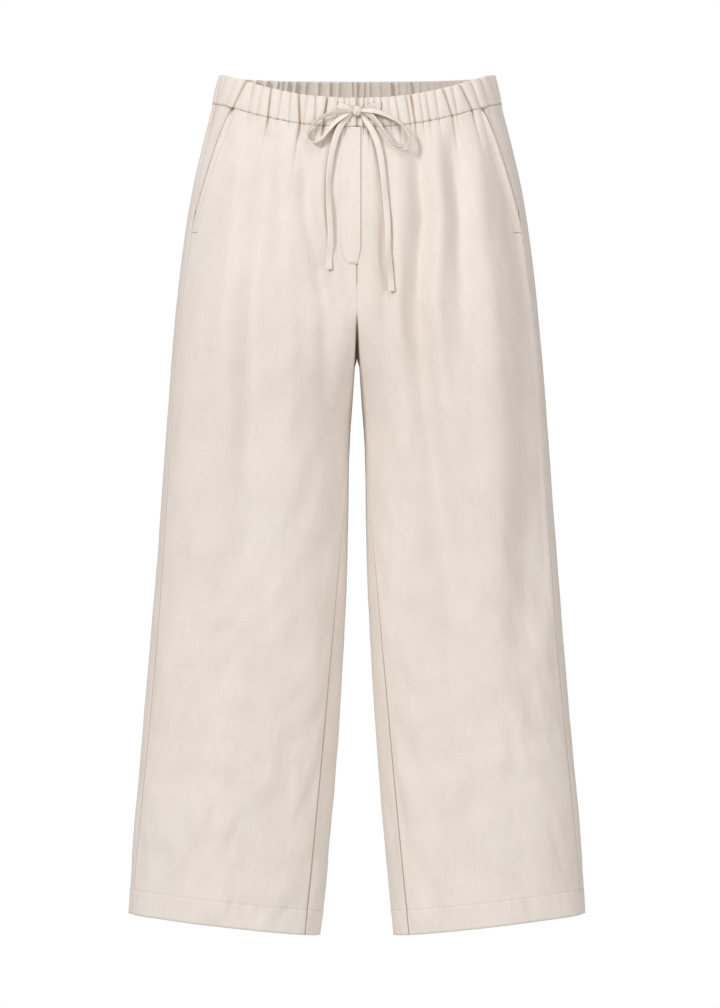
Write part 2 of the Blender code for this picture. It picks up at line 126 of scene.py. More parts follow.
BACK_FOLDS = (
    ((-0.040, -0.044, -0.048, -0.052, -0.058, -0.066), 0.018, 0.0052, -0.02, -0.70),
    ((-0.082, -0.088, -0.096, -0.100, -0.104, -0.110), 0.021, 0.0060, -0.02, -0.80),
    ((-0.062, -0.066, -0.070, -0.076, -0.080, -0.088), 0.018, -0.0024, -0.02, -0.60),
    ((-0.140, -0.148, -0.160, -0.164, -0.166, -0.170), 0.020, 0.0050, -0.02, -0.70),
    ((-0.112, -0.120, -0.128, -0.132, -0.136, -0.142), 0.018, -0.0024, -0.02, -0.60),
    ((-0.178, -0.188, -0.198, -0.202, -0.206, -0.212), 0.016, 0.0034, -0.06, -0.60),
    ((0.036, 0.040, 0.046, 0.050, 0.056, 0.066), 0.017, 0.0050, -0.02, -0.80),
    ((0.060, 0.062, 0.066, 0.072, 0.080, 0.086), 0.016, -0.0022, -0.02, -0.60),
    ((0.084, 0.090, 0.098, 0.106, 0.110, 0.114), 0.021, 0.0062, -0.02, -0.70),
    ((0.132, 0.142, 0.154, 0.160, 0.164, 0.168), 0.020, 0.0048, -0.02, -0.85),
    ((0.108, 0.118, 0.126, 0.132, 0.138, 0.142), 0.017, -0.0020, -0.02, -0.60),
    ((0.174, 0.184, 0.196, 0.202, 0.206, 0.212), 0.016, 0.0036, -0.06, -0.60),
)

# Gathers of the front of the band: x at the band's top and at its seam, depth, half width, and
# how far each runs on below the seam.
FRONT_GATHERS = (
    (-0.1660, -0.1700, 0.0012, 0.0012, 0.014),
    (-0.1530, -0.1580, 0.0010, 0.0012, 0.010),
    (-0.1405, -0.1500, 0.0026, 0.0016, 0.034),
    (-0.1290, -0.1310, 0.0012, 0.0014, 0.018),
    (-0.1180, -0.1200, 0.0009, 0.0012, 0.010),
    (-0.1080, -0.1075, 0.0022, 0.0013, 0.022),
    (-0.0940, -0.0950, 0.0014, 0.0012, 0.012),
    (-0.0830, -0.0815, 0.0010, 0.0012, 0.016),
    (-0.0735, -0.0690, 0.0024, 0.0015, 0.030),
    (-0.0620, -0.0635, 0.0016, 0.0012, 0.012),
    (-0.0520, -0.0500, 0.0017, 0.0013, 0.026),
    (-0.0375, -0.0410, 0.0026, 0.0014, 0.020),
    (-0.0235, -0.0225, 0.0009, 0.0010, 0.008),
    (-0.0155, -0.0150, 0.0012, 0.0009, 0.010),
    (-0.0095, -0.0090, 0.0008, 0.0009, 0.006),
    (0.0022, 0.0018, 0.0015, 0.0009, 0.004),
    (0.0090, 0.0085, 0.0018, 0.0010, 0.012),
    (0.0150, 0.0150, 0.0018, 0.0010, 0.014),
    (0.0222, 0.0218, 0.0009, 0.0010, 0.010),
    (0.0300, 0.0310, 0.0012, 0.0010, 0.020),
    (0.0405, 0.0420, 0.0013, 0.0013, 0.030),
    (0.0485, 0.0520, 0.0016, 0.0013, 0.014),
    (0.0615, 0.0645, 0.0017, 0.0012, 0.020),
    (0.0685, 0.0705, 0.0026, 0.0014, 0.044),
    (0.0790, 0.0800, 0.0011, 0.0012, 0.012),
    (0.0870, 0.0885, 0.0013, 0.0012, 0.020),
    (0.0980, 0.0990, 0.0010, 0.0012, 0.010),
    (0.1080, 0.1145, 0.0026, 0.0015, 0.034),
    (0.1205, 0.1215, 0.0011, 0.0012, 0.010),
    (0.1290, 0.1390, 0.0022, 0.0014, 0.018),
    (0.1430, 0.1490, 0.0013, 0.0013, 0.022),
    (0.1560, 0.1600, 0.0012, 0.0012, 0.010),
    (0.1670, 0.1720, 0.0012, 0.0012, 0.012),
)
BACK_GATHER_SEED = 7
BACK_GATHER_SPACING = (0.0060, 0.0165)
BACK_GATHER_DEPTHS = (0.0009, 0.0013, 0.0018, 0.0025)
STRONG_DEPTH = 0.0020  # a gather deeper than this is a strong one
STRONG_GATHER = 1.7
GATHER_LEAN = 0.75  # how uneven a gather's two sides are
PILLOW = 0.0013  # how far the cloth stands out between two gathers
PILLOW_FADE = 0.020

# Drawstring: one tape from each buttonhole, through the knot, round its loop, through the knot
# again and down its tail. Each row is x, height, distance off the cloth and the tape's turn from
# lying flat (0) towards standing on edge (90). Millimetres and degrees.
TAPE_WIDTH = 0.0080
TAPE_CLOTH = 0.0011
NECK_LENGTH = 0.012
NECK = 0.42
KNOT_CENTRE = (0.0, -32.0, 5.6)
STRAND_LEFT = (
    (30.0, -25.6, 1.6, 5),
    (22.5, -25.6, 2.6, 10),
    (15.0, -27.8, 3.8, 10),
    (7.6, -30.6, 4.6, 10),
)
STRAND_RIGHT = (
    (-24.0, -24.8, 1.4, 5),
    (-18.0, -26.6, 2.6, 10),
    (-12.5, -28.6, 3.8, 10),
    (-7.6, -30.6, 4.6, 10),
)
LOOP_LEFT = (
    (7.8, -31.6, 7.6, 25),
    (20.0, -32.0, 8.6, 40),
    (31.5, -35.4, 8.8, 50),
    (42.8, -40.6, 8.6, 60),
    (52.4, -46.6, 8.2, 72),
    (60.8, -55.4, 7.8, 82),
    (65.0, -65.0, 7.4, 88),
    (63.2, -72.6, 7.2, 88),
    (57.0, -77.0, 7.0, 86),
    (50.0, -76.2, 7.0, 80),
    (42.6, -71.6, 7.2, 72),
    (36.0, -62.8, 7.4, 66),
    (28.8, -52.0, 7.4, 60),
    (20.6, -41.4, 6.8, 50),
    (11.4, -34.6, 5.2, 30),
)
LOOP_RIGHT = (
    (-7.8, -31.6, 7.6, 25),
    (-17.4, -32.4, 8.4, 40),
    (-30.6, -35.4, 8.8, 50),
    (-41.8, -39.6, 8.6, 60),
    (-51.4, -46.2, 8.2, 74),
    (-59.6, -56.0, 7.6, 84),
    (-62.0, -62.2, 7.2, 88),
    (-59.6, -67.8, 7.0, 88),
    (-54.0, -70.4, 7.0, 84),
    (-48.2, -69.0, 7.0, 78),
    (-41.6, -63.6, 7.2, 68),
    (-34.6, -55.2, 7.4, 60),
    (-27.6, -46.8, 7.2, 50),
    (-18.8, -39.2, 6.4, 40),
    (-11.2, -34.4, 5.0, 30),
)
TAIL_LEFT = (
    (6.6, -37.2, 3.2, 15),
    (11.6, -44.6, 3.2, 15),
    (16.6, -52.6, 5.2, 15),
    (21.6, -62.2, 4.9, 10),
    (25.6, -73.6, 4.5, 10),
    (29.2, -89.0, 4.2, 10),
    (31.8, -107.4, 4.5, 20),
    (33.8, -125.8, 4.9, 30),
    (35.6, -145.4, 4.5, 20),
    (37.2, -165.0, 4.2, 10),
    (38.2, -186.0, 4.2, 15),
    (38.8, -205.6, 4.9, 35),
    (40.0, -222.8, 4.9, 30),
    (41.6, -240.0, 2.9, 10),
    (42.4, -254.6, 2.6, 5),
)
TAIL_RIGHT = (
    (-7.4, -36.4, 4.0, 20),
    (-14.0, -42.6, 4.0, 15),
    (-19.8, -50.2, 6.3, 10),
    (-24.4, -60.4, 5.6, 10),
    (-28.2, -72.8, 5.2, 10),
    (-31.0, -85.4, 4.9, 15),
    (-33.6, -104.8, 4.9, 25),
    (-34.8, -123.2, 5.2, 40),
    (-34.6, -141.6, 4.9, 30),
    (-33.6, -161.4, 4.5, 20),
    (-32.4, -179.8, 4.5, 20),
    (-32.6, -198.2, 4.5, 15),
    (-33.8, -211.8, 2.9, 10),
    (-34.6, -227.6, 2.6, 0),
)

# ------------------------------------------------------------------ colours and stitches
LINEN_LIGHT = (0.835, 0.778, 0.730)
LINEN_DARK = (0.715, 0.652, 0.594)
TAPE_LIGHT = (0.850, 0.797, 0.752)
TAPE_DARK = (0.750, 0.688, 0.630)
THREAD = (0.640, 0.560, 0.480)
PAINTED_CREASE_SHADE = (0.74, 0.61, 0.48)  # painted shade: the colour deep in creases, warmer as light is after it has gone between folds of linen
# painted shade: the colour where nearby walls hide a place in part
SHADE_TINT = (0.90, 0.845, 0.785)
DARK_THREAD = (0.420, 0.330, 0.250)
BUTTONHOLES = ((-0.0233, -0.0204, -0.0296), (0.0300, -0.0212, -0.0300))  # x, top and foot
TOPSTITCH_IN = 0.0070  # of the pocket's topstitch from its edge
BAR_TACK = (0.0004, 0.0150)  # from the side seam

# ------------------------------------------------------------------ camera and lights
CAMERA_DISTANCE = 6.0
CAMERA_X = 0.0037
CAMERA_HEIGHT = -0.515
FRAME_HEIGHT = 1.257  # of what the camera takes in at the garment's middle
SENSOR = 36.0
FLOOR_HEIGHT = -1.45
FLOOR_RADIUS = 1.6
WORLD_COLOUR = (1.0, 0.972, 0.945, 1.0)
WORLD_STRENGTH = 0.40
LIGHTS = (
    # name, place, what it is aimed at, size, power and colour
    ("key", (-3.6, -3.5, 2.3), (0.0, 0.0, -0.45), 1.2, 158.0, (1.0, 0.998, 0.998)),
    ("fill", (3.1, -3.2, -0.2), (0.0, 0.0, -0.55), 2.4, 50.0, (1.0, 0.98, 0.96)),
    ("low", (0.0, -4.0, -1.0), (0.0, 0.0, -0.6), 1.0, 8.0, (1.0, 0.96, 0.92)),
    ("waist", (0.1, -0.9, 1.0), (0.0, 0.09, 0.0), 0.5, 4.2, (1.0, 0.98, 0.96)),
)


def make_camera():
    data = bpy.data.cameras.new("camera")
    data.sensor_width = SENSOR
    data.lens = SENSOR * CAMERA_DISTANCE / FRAME_HEIGHT
    data.clip_end = 60.0
    camera = bpy.data.objects.new("camera", data)
    camera.location = (CAMERA_X, -CAMERA_DISTANCE, CAMERA_HEIGHT)
    camera.rotation_euler = (math.radians(90.0), 0.0, 0.0)
    bpy.context.scene.collection.objects.link(camera)
    bpy.context.scene.camera = camera


# ------------------------------------------------------------------ form
def smooth_step(value, start, end):
    share = np.clip((value - start) / (end - start), 0.0, 1.0)
    return share * share * (3.0 - 2.0 * share)


def smooth_column(heights, values, height):
    """A smooth curve through (heights, values), read at one height."""
    slopes = np.gradient(values, heights)
    index = int(np.clip(np.searchsorted(heights, height) - 1, 0, len(heights) - 2))
    span = heights[index + 1] - heights[index]
    t = (height - heights[index]) / span
    start, end = values[index], values[index + 1]
    return (
        start * (1 + 2 * t) * (1 - t) ** 2
        + end * t * t * (3 - 2 * t)
        + slopes[index] * span * t * (1 - t) ** 2
        - slopes[index + 1] * span * t * t * (1 - t)
    )


SECTION_TABLE = np.array(SECTIONS)[::-1].T


def section(height):
    sizes = {
        name: float(smooth_column(SECTION_TABLE[0], column, height))
        for name, column in zip(SECTION_COLUMNS, SECTION_TABLE)
    }
    sizes["inner"] = max(sizes["inner"], SEAM_GAP / 2)
    middle = (sizes["outer"] + sizes["inner"]) / 2
    sizes["apex"] = max(middle * smooth_step(height, -0.10, -0.38), sizes["inner"])
    return sizes


def half_outline(height, sizes, depth, curve_top):
    """Points from the outermost point of a section to its inner edge, as (x, depth), and how far
    along them the inner wall starts."""
    turn = np.linspace(0.0, np.pi / 2, 160)
    apex, outer, inner = sizes["apex"], sizes["outer"], sizes["inner"]
    power = 2.0 / SIDE_ROUNDNESS
    side_x = apex + (outer - apex) * np.cos(turn) ** power
    side_y = depth * np.sin(turn) ** power
    rounding = smooth_step(height, curve_top, LEGS_ROUND) ** 1.2
    power = 2.0 / INNER_ROUNDNESS
    inner_x = apex - (apex - inner) * np.sin(turn) ** power
    inner_y = depth * (1.0 - rounding * (1.0 - np.cos(turn) ** power))
    share = np.clip((curve_top - height) / (curve_top - CROTCH), 0.0, 1.0)
    edge_y = depth * np.sqrt(1.0 - share * share)
    edge_x = SEAM_GAP / 2
    if height >= CROTCH:
        edge_y = max(edge_y, SEAM_GAP / 2)
    else:
        edge_y = 0.0
        edge_x += (inner - edge_x) * smooth_step(height, CROTCH, CROTCH - 0.014)
    wall = np.linspace(0.0, 1.0, 40)
    wall_x = inner + (edge_x - inner) * wall
    wall_y = inner_y[-1] + (min(edge_y, inner_y[-1]) - inner_y[-1]) * wall
    x = np.concatenate([side_x, inner_x, wall_x])
    y = np.concatenate([side_y, inner_y, wall_y])
    keep = np.concatenate([[True], np.hypot(np.diff(x), np.diff(y)) > 1e-7])
    corner = float(np.hypot(np.diff(x), np.diff(y))[: -len(wall)].sum())
    return np.stack([x[keep], y[keep]], axis=1), corner


def lengths(points):
    return np.concatenate([[0.0], np.cumsum(np.linalg.norm(np.diff(points, axis=0), axis=1))])


class Ring:
    """One side's section at a height, read by distance along the cloth from its outermost point."""

    made = {}

    def __init__(self, height):
        self.sizes = section(height)
        front, corner = half_outline(height, self.sizes, self.sizes["front"], FRONT_CURVE_TOP)
        self.front_corner = -corner
        back, corner = half_outline(height, self.sizes, self.sizes["back"], BACK_CURVE_TOP)
        self.back_corner = corner
        front[:, 1] *= -1.0
        self.front_end = -lengths(front)[-1]
        self.back_end = lengths(back)[-1]
        points = np.concatenate([front[:0:-1], back])
        distance = np.concatenate([-lengths(front)[:0:-1], lengths(back)])
        below = height < CROTCH
        if below:
            points = np.concatenate([points, front[::-1][1:]])
            distance = np.concatenate([distance, self.back_end + lengths(front[::-1])[1:]])
        tangent = np.gradient(points, distance, axis=0)
        normal = np.stack([tangent[:, 1], -tangent[:, 0]], axis=1)
        self.normal = normal / np.linalg.norm(normal, axis=1, keepdims=True)
        self.points = points
        self.distance = distance
        self.side_seam = -self.sizes["side_seam"]
        slit = INNER_SLIT * smooth_step(height, -0.36, -0.42)
        self.inseam_gap = slit / 2 if below else 0.0
        self.inseam = self.sizes["inseam"] if below else 0.0

    def read(self, distance):
        columns = (self.points[:, 0], self.points[:, 1], self.normal[:, 0], self.normal[:, 1])
        return np.array([np.interp(distance, self.distance, column) for column in columns])

    def front_face(self):
        """x, distance and y of the front's points, in the order of x."""
        front = self.points[:, 1] < 0
        order = np.argsort(self.points[front, 0])
        columns = (self.points[:, 0], self.distance, self.points[:, 1])
        return [column[front][order] for column in columns]

    def cloth_length(self):
        return self.back_end - self.front_end


def ring_at(height):
    """The section at a height, made once."""
    key = round(float(height), 6)
    if key not in Ring.made:
        Ring.made[key] = Ring(key)
    return Ring.made[key]


def tilt(x, y, height, sizes):
    """How far a point moves up: the waist dips at the front and the hem rises to the side."""
    forward = np.clip(-y / sizes["front"], 0.0, 1.0)
    fade = 1.0 - smooth_step(height, WAIST_SEAM, DIP_ENDS)
    lean = smooth_step(height, TILT_STARTS, HEM)
    middle = (sizes["outer"] + sizes["inner"]) / 2
    return HEM_TILT * (x - middle) * lean - FRONT_DIP * forward**DIP_POWER * fade


# ------------------------------------------------------------------ smooth noise
def lattice_noise(u, v, cell_u, cell_v, seed):
    """Smooth seeded noise from -1 to 1 over a sheet's own coordinates, in metres."""
    values = np.random.default_rng(seed).uniform(-1.0, 1.0, (64, 64))
    a, b = u / cell_u, v / cell_v
    i, j = np.floor(a).astype(int), np.floor(b).astype(int)
    s, t = a - i, b - j
    s, t = s * s * s * (s * (6 * s - 15) + 10), t * t * t * (t * (6 * t - 15) + 10)

    def at(di, dj):
        return values[(i + di) % 64, (j + dj) % 64]

    return (at(0, 0) * (1 - s) + at(1, 0) * s) * (1 - t) + (at(0, 1) * (1 - s) + at(1, 1) * s) * t


# ------------------------------------------------------------------ folds and gathers
def long_folds(x, height, y):
    """How far the long folds draw the cloth in, from x as worn, the height and the face."""
    depth = np.zeros_like(x)
    for table, face in ((FRONT_FOLDS, y < 0), (BACK_FOLDS, y >= 0)):
        for places, width, deepest, starts, ends in table:
            middle = np.interp(-height, [-level for level in FOLD_HEIGHTS], places)
            wide = width * (0.78 + 0.8 * smooth_step(height, -0.20, -0.70))
            grows = 0.25 + 0.75 * smooth_step(height, starts, starts - 0.09)
            fades = 1.0 - smooth_step(height, ends + 0.30, ends)
            depth += face * FOLD_STRENGTH * deepest * grows * fades * np.exp(-(((x - middle) / wide) ** 2))
    return depth


def gather_table(side):
    """Gathers of one half of the band, from centre front round to centre back, as rows of place
    at the top, place at the seam, depth, half width and run, with places along the cloth."""
    ring = ring_at(0.0)
    reach, distance, _ = ring.front_face()
    place = distance - ring.front_end
    rows = []
    for x_top, x_foot, depth, width, run in FRONT_GATHERS:
        if x_top * side > 0:
            top, foot = np.interp([abs(x_top), abs(x_foot)], reach, place)
            rows.append((top, foot, depth, width, run))
    draw = np.random.default_rng(BACK_GATHER_SEED + side)
    where = max(row[0] for row in rows)
    rows.sort()
    total = ring.cloth_length()
    while True:
        where += draw.uniform(*BACK_GATHER_SPACING)
        if where > total - 0.004:
            break
        foot = where + draw.uniform(-0.0025, 0.0025)
        depth = draw.choice(BACK_GATHER_DEPTHS)
        rows.append((where, foot, depth, draw.uniform(0.0010, 0.0015), draw.uniform(0.008, 0.04)))
    return np.array(rows), total


GATHERS = {}


def gathers(place, drop, side):
    """How far the gathers draw the cloth in. place runs from centre front along the cloth at the
    waist, drop is 0 at the band's top, 1 at its seam, and grows by 1 for each 10 mm below."""
    if side not in GATHERS:
        GATHERS[side] = gather_table(side)
    rows, total = GATHERS[side]
    down = np.clip(drop, 0.0, 1.0)
    below = np.clip(drop - 1.0, 0.0, None) * 0.010
    depth = np.zeros_like(place)
    centres = [np.full_like(place, 0.0)]
    for index, (top, foot, deepest, width, run) in enumerate(rows):
        centre = top + (foot - top) * down
        centres.append(centre)
        strong = deepest > STRONG_DEPTH
        deepest = deepest * (STRONG_GATHER if strong else 1.1)
        wide = width * (0.75 if strong else 0.9) * (1.0 + 42.0 * below)
        reach = run * (1.5 if strong else 1.1)
        fade = np.exp(-((below / reach) ** 1.3))
        uneven = 0.80 + 0.20 * np.cos(1.7 * index + 2.2 * down)
        lean = GATHER_LEAN * (1 if math.sin(2.3 * index) * side > -0.4 * side else -1)
        aside = (place - centre) / wide
        wider = np.where(aside * lean > 0, 1.0 + GATHER_LEAN, 1.0 - 0.5 * GATHER_LEAN)
        aside = aside / wider
        depth += deepest * uneven * fade * np.exp(-np.abs(aside) ** 1.4)
    centres.append(np.full_like(place, total))
    centres = np.sort(np.array(centres), axis=0)
    pillow = np.zeros_like(place)
    for left, right in zip(centres, centres[1:]):
        inside = (place >= left) & (place < right)
        span = np.maximum(right - left, 1e-5)
        swell = np.sin(np.pi * np.clip((place - left) / span, 0.0, 1.0)) ** 0.8
        pillow = np.where(inside, swell * np.clip(span / 0.010, 0.35, 1.3), pillow)
    return depth - PILLOW * pillow * np.exp(-below / PILLOW_FADE)


def crumple(u, v, height):
    """Small uneven relief of worn linen, with more of it lower down the leg."""
    low = smooth_step(height, -0.30, -0.90)
    bent = u + 0.012 * lattice_noise(u, v, 0.060, 0.080, 15) + 0.25 * v
    soft = lattice_noise(u, v, 0.055, 0.150, 11) * 0.0012
    streak = lattice_noise(bent - 0.25 * v, v, 0.015, 0.070, 12) * 0.00035
    wrinkle = lattice_noise(bent, v, 0.022, 0.048, 13) * (0.0007 + 0.0010 * low)
    cross = lattice_noise(u - 0.3 * v, v, 0.050, 0.026, 16) * (0.0003 + 0.0009 * low)
    fine = lattice_noise(bent, v, 0.010, 0.022, 14) * (0.00012 + 0.00025 * low)
    return soft + streak + wrinkle + cross + fine


# ------------------------------------------------------------------ meshes
def grid_mesh(name, outer, normals, relief, thick, uv, side, material):
    """A closed thin wall. Its inside has half the columns and rows, and lies under every crease."""
    rows, columns = outer.shape[:2]
    deep = relief.copy()
    for axis in (0, 1):
        ahead, behind = np.roll(deep, -1, axis=axis), np.roll(deep, 1, axis=axis)
        deep = np.maximum(deep, np.maximum(ahead, behind))
    sink = (deep - relief + thick)[::2, ::2]
    inner = outer[::2, ::2] - normals[::2, ::2] * sink[..., None]
    count = rows * columns
    points = np.concatenate([outer.reshape(-1, 3), inner.reshape(-1, 3)])
    fine = np.arange(count).reshape(rows, columns)
    coarse = count + np.arange(inner.shape[0] * inner.shape[1]).reshape(inner.shape[:2])
    faces = []
    for index, step in ((fine, 1), (coarse, -1)):
        quads = np.stack([index[:-1, :-1], index[1:, :-1], index[1:, 1:], index[:-1, 1:]], axis=-1)
        faces += quads.reshape(-1, 4)[:, ::step].tolist()
    borders = (
        (fine[:, 0], coarse[:, 0], 1),
        (fine[:, -1], coarse[:, -1], -1),
        (fine[0, :], coarse[0, :], -1),
        (fine[-1, :], coarse[-1, :], 1),
    )
    for near, far, step in borders:
        for index in range(len(far) - 1):
            first, middle, last = near[2 * index : 2 * index + 3]
            for face in (
                (first, far[index], middle),
                (middle, far[index], far[index + 1]),
                (middle, far[index + 1], last),
            ):
                faces.append([int(corner) for corner in face[::step]])
    if side < 0:
        faces = [face[::-1] for face in faces]
    coordinates = np.concatenate([uv.reshape(-1, 2), uv[::2, ::2].reshape(-1, 2)])
    return face_object(name, points, faces, coordinates, material)


def face_object(name, points, faces, coordinates, material):
    """A smooth mesh object, with the cloth's own coordinates in metres as its UVs."""
    sizes = np.array([len(face) for face in faces], dtype=np.int32)
    corners = np.concatenate([np.asarray(face, dtype=np.int32) for face in faces])
    mesh = bpy.data.meshes.new(name)
    mesh.vertices.add(len(points))
    mesh.vertices.foreach_set("co", points.astype(np.float32).ravel())
    mesh.loops.add(len(corners))
    mesh.loops.foreach_set("vertex_index", corners)
    mesh.polygons.add(len(faces))
    mesh.polygons.foreach_set("loop_start", np.concatenate([[0], np.cumsum(sizes)[:-1]]).astype(np.int32))
    mesh.update(calc_edges=True)
    if coordinates is not None:
        layer = mesh.uv_layers.new(name="grain")
        layer.data.foreach_set("uv", coordinates[corners].astype(np.float32).ravel())
    mesh.shade_smooth()
    mesh.validate()
    mesh.materials.append(material)
    item = bpy.data.objects.new(name, mesh)
    bpy.context.scene.collection.objects.link(item)
    return item


def spaced(edge, corner, far):
    """Places of a panel's columns from its inner edge to its side. Those past the corner keep
    their place where the crotch curve moves the edge."""
    away = 1.0 if far > edge else -1.0
    steps = np.array(EDGE_STEPS)
    first, last = edge + steps * away, far - steps[::-1] * away
    edge, far = edge + 0.0053 * away, far - 0.0053 * away
    corner = corner + 0.008 * away
    if (corner - edge) * away < 0.012:
        corner = edge + 0.012 * away
    wall = np.linspace(edge, corner, WALL_COLUMNS + 1)
    rest = np.linspace(corner, far, PANEL_COLUMNS - WALL_COLUMNS - 2 * len(steps))
    return np.concatenate([first, wall[:-1], rest, last])


def panel_heights():
    """Heights of the mesh rows: close at the waist, the crotch and the hem."""
    stitches = HEM + HEM_DEPTH
    stops = (
        (WAIST_SEAM - 0.045, 30),
        (-0.262, 52),
        (-0.322, 22),
        (-0.3315, 10),
        (CROTCH, 8),
        (-0.350, 10),
        (stitches + 0.006, 98),
        (stitches - 0.006, 12),
        (HEM, 8),
    )
    heights = [np.array([WAIST_SEAM - 0.00002])]
    for stop, count in stops:
        heights.append(np.linspace(heights[-1][-1], stop, count + 1)[1:])
    return np.concatenate(heights)


def edge_roll(distance_in):
    """A seamed edge turns in over its last two millimetres."""
    near = np.clip(1.0 - distance_in / ROLL_WIDTH, 0.0, 1.0)
    return ROLL * near * near


def inner_roll(height, curve_top):
    """How much of a turned edge the centre seam and inseam have: none through the crotch."""
    centre = smooth_step(height, curve_top + 0.010, curve_top + 0.035)
    return centre + smooth_step(height, -0.36, -0.44)


def hem_relief(height, u):
    """The turned hem is a little thicker, drawn in along its stitches and puckered there."""
    above = height - (HEM + HEM_DEPTH)
    doubled = 0.00035 * (1.0 - smooth_step(above, -0.0012, 0.0002))
    line = np.exp(-((above / 0.0011) ** 2))
    near = np.exp(-((above / 0.0070) ** 2))
    pucker = lattice_noise(u, u * 0.0, 0.0065, 1.0, 21) * 0.00030 * near
    return 0.00045 * line + pucker - doubled


def waist_relief(place, height, side):
    below = np.clip(WAIST_SEAM - height, 0.0, None)
    return gathers(place, 1.0 + below / 0.010, side)


class Panel:
    """The grid of a leg panel: points, outward normals and the cloth's own coordinates."""

    def __init__(self, side, face, limits):
        heights = panel_heights()
        self.side = side
        self.heights = heights
        x, y, nx, ny, z, u, place, start_in, end_in = ([] for _ in range(9))
        for height in heights:
            ring = ring_at(height)
            start, end = limits(ring, height)
            if face == "front":
                distance = spaced(start, ring.front_corner, end)
            else:
                distance = spaced(end, ring.back_corner, start)[::-1]
            row = ring.read(distance)
            x.append(row[0])
            y.append(row[1])
            nx.append(row[2])
            ny.append(row[3])
            z.append(height + tilt(row[0], row[1], height, ring.sizes))
            u.append(distance - ring.side_seam)
            place.append((distance - ring.front_end) / ring.cloth_length())
            start_in.append(np.abs(distance - start))
            end_in.append(np.abs(distance - end))
        self.x, self.y, self.nx, self.ny = map(np.array, (x, y, nx, ny))
        self.z, self.u, self.place = np.array(z), np.array(u), np.array(place)
        self.start_in, self.end_in = np.array(start_in), np.array(end_in)
        self.height = np.repeat(heights[:, None], PANEL_COLUMNS, axis=1)

    def points(self):
        x, y = self.x - self.nx * self.relief, self.y - self.ny * self.relief
        return np.stack([self.side * x, y, self.z], axis=-1)

    def normals(self):
        return np.stack([self.side * self.nx, self.ny, 0.0 * self.ny], axis=-1)

    def mesh(self, name, uv, material):
        wall = (self.points(), self.normals(), self.relief, thickness(self))
        return grid_mesh(name, *wall, uv, self.side, material)


def seam_fade(panel):
    """0 on a panel's sewn edges and 1 away from them, so that neighbours meet."""
    return smooth_step(panel.start_in, 0.0, 0.012) * smooth_step(panel.end_in, 0.0, 0.012)


def panel_relief(panel):
    """How far in the cloth lies from its section, all creases together."""
    facing = np.abs(panel.ny)
    relief = long_folds(panel.side * panel.x, panel.height, panel.y) * facing
    creases = crumple(panel.u + 0.35 * panel.side, panel.height, panel.height)
    relief += creases * (0.25 + 0.85 * facing)
    relief *= seam_fade(panel) * smooth_step(panel.height, WAIST_SEAM, WAIST_SEAM - 0.030)
    rows = panel.heights > WAIST_SEAM - 0.13
    waist_place = panel.place[rows] * ring_at(0.0).cloth_length()
    relief[rows] += waist_relief(waist_place, panel.height[rows], panel.side)
    relief += hem_relief(panel.height, panel.u)
    return relief


def pocket_width(height):
    top = WAIST_SEAM - POCKET_BOTTOM
    share = np.clip((height - POCKET_BOTTOM) / top, 0.0, 1.0)
    return POCKET_TOP_WIDTH * share


def thickness(panel):
    """One layer, and two in the hem."""
    above = panel.height - (HEM + HEM_DEPTH)
    return CLOTH * (1.0 + 0.7 * (1.0 - smooth_step(above, -0.001, 0.0)))


def make_front(name, side, material):
    def limits(ring, height):
        start = ring.front_end + ring.inseam + ring.inseam_gap
        end = ring.side_seam - SIDE_SLIT / 2 - pocket_width(height)
        return start, end

    panel = Panel(side, "front", limits)
    relief = panel_relief(panel)
    relief += edge_roll(panel.start_in) * inner_roll(panel.height, FRONT_CURVE_TOP)
    in_pocket = smooth_step(panel.height, POCKET_BOTTOM, POCKET_BOTTOM + 0.006)
    relief += (1.0 - 0.9 * in_pocket) * edge_roll(panel.end_in)
    gape = POCKET_GAPE * smooth_step(panel.height, POCKET_BOTTOM, WAIST_SEAM - 0.020)
    gape = gape * smooth_step(panel.height, WAIST_SEAM, WAIST_SEAM - 0.012)
    relief -= gape * np.exp(-((panel.end_in / 0.006) ** 2))
    panel.relief = relief
    uv = np.stack([panel.u + 3.0 * (side > 0), panel.height], axis=-1)
    return panel.mesh(name, uv, material), panel


def make_back(name, side, material):
    def limits(ring, height):
        start = ring.side_seam + SIDE_SLIT / 2
        end = ring.back_end + ring.inseam - ring.inseam_gap
        return start, end

    panel = Panel(side, "back", limits)
    relief = panel_relief(panel)
    relief += edge_roll(panel.start_in) + edge_roll(panel.end_in) * inner_roll(panel.height, BACK_CURVE_TOP)
    panel.relief = relief
    uv = np.stack([panel.u + 6.0 + 3.0 * (side > 0), panel.height], axis=-1)
    return panel.mesh(name, uv, material), panel


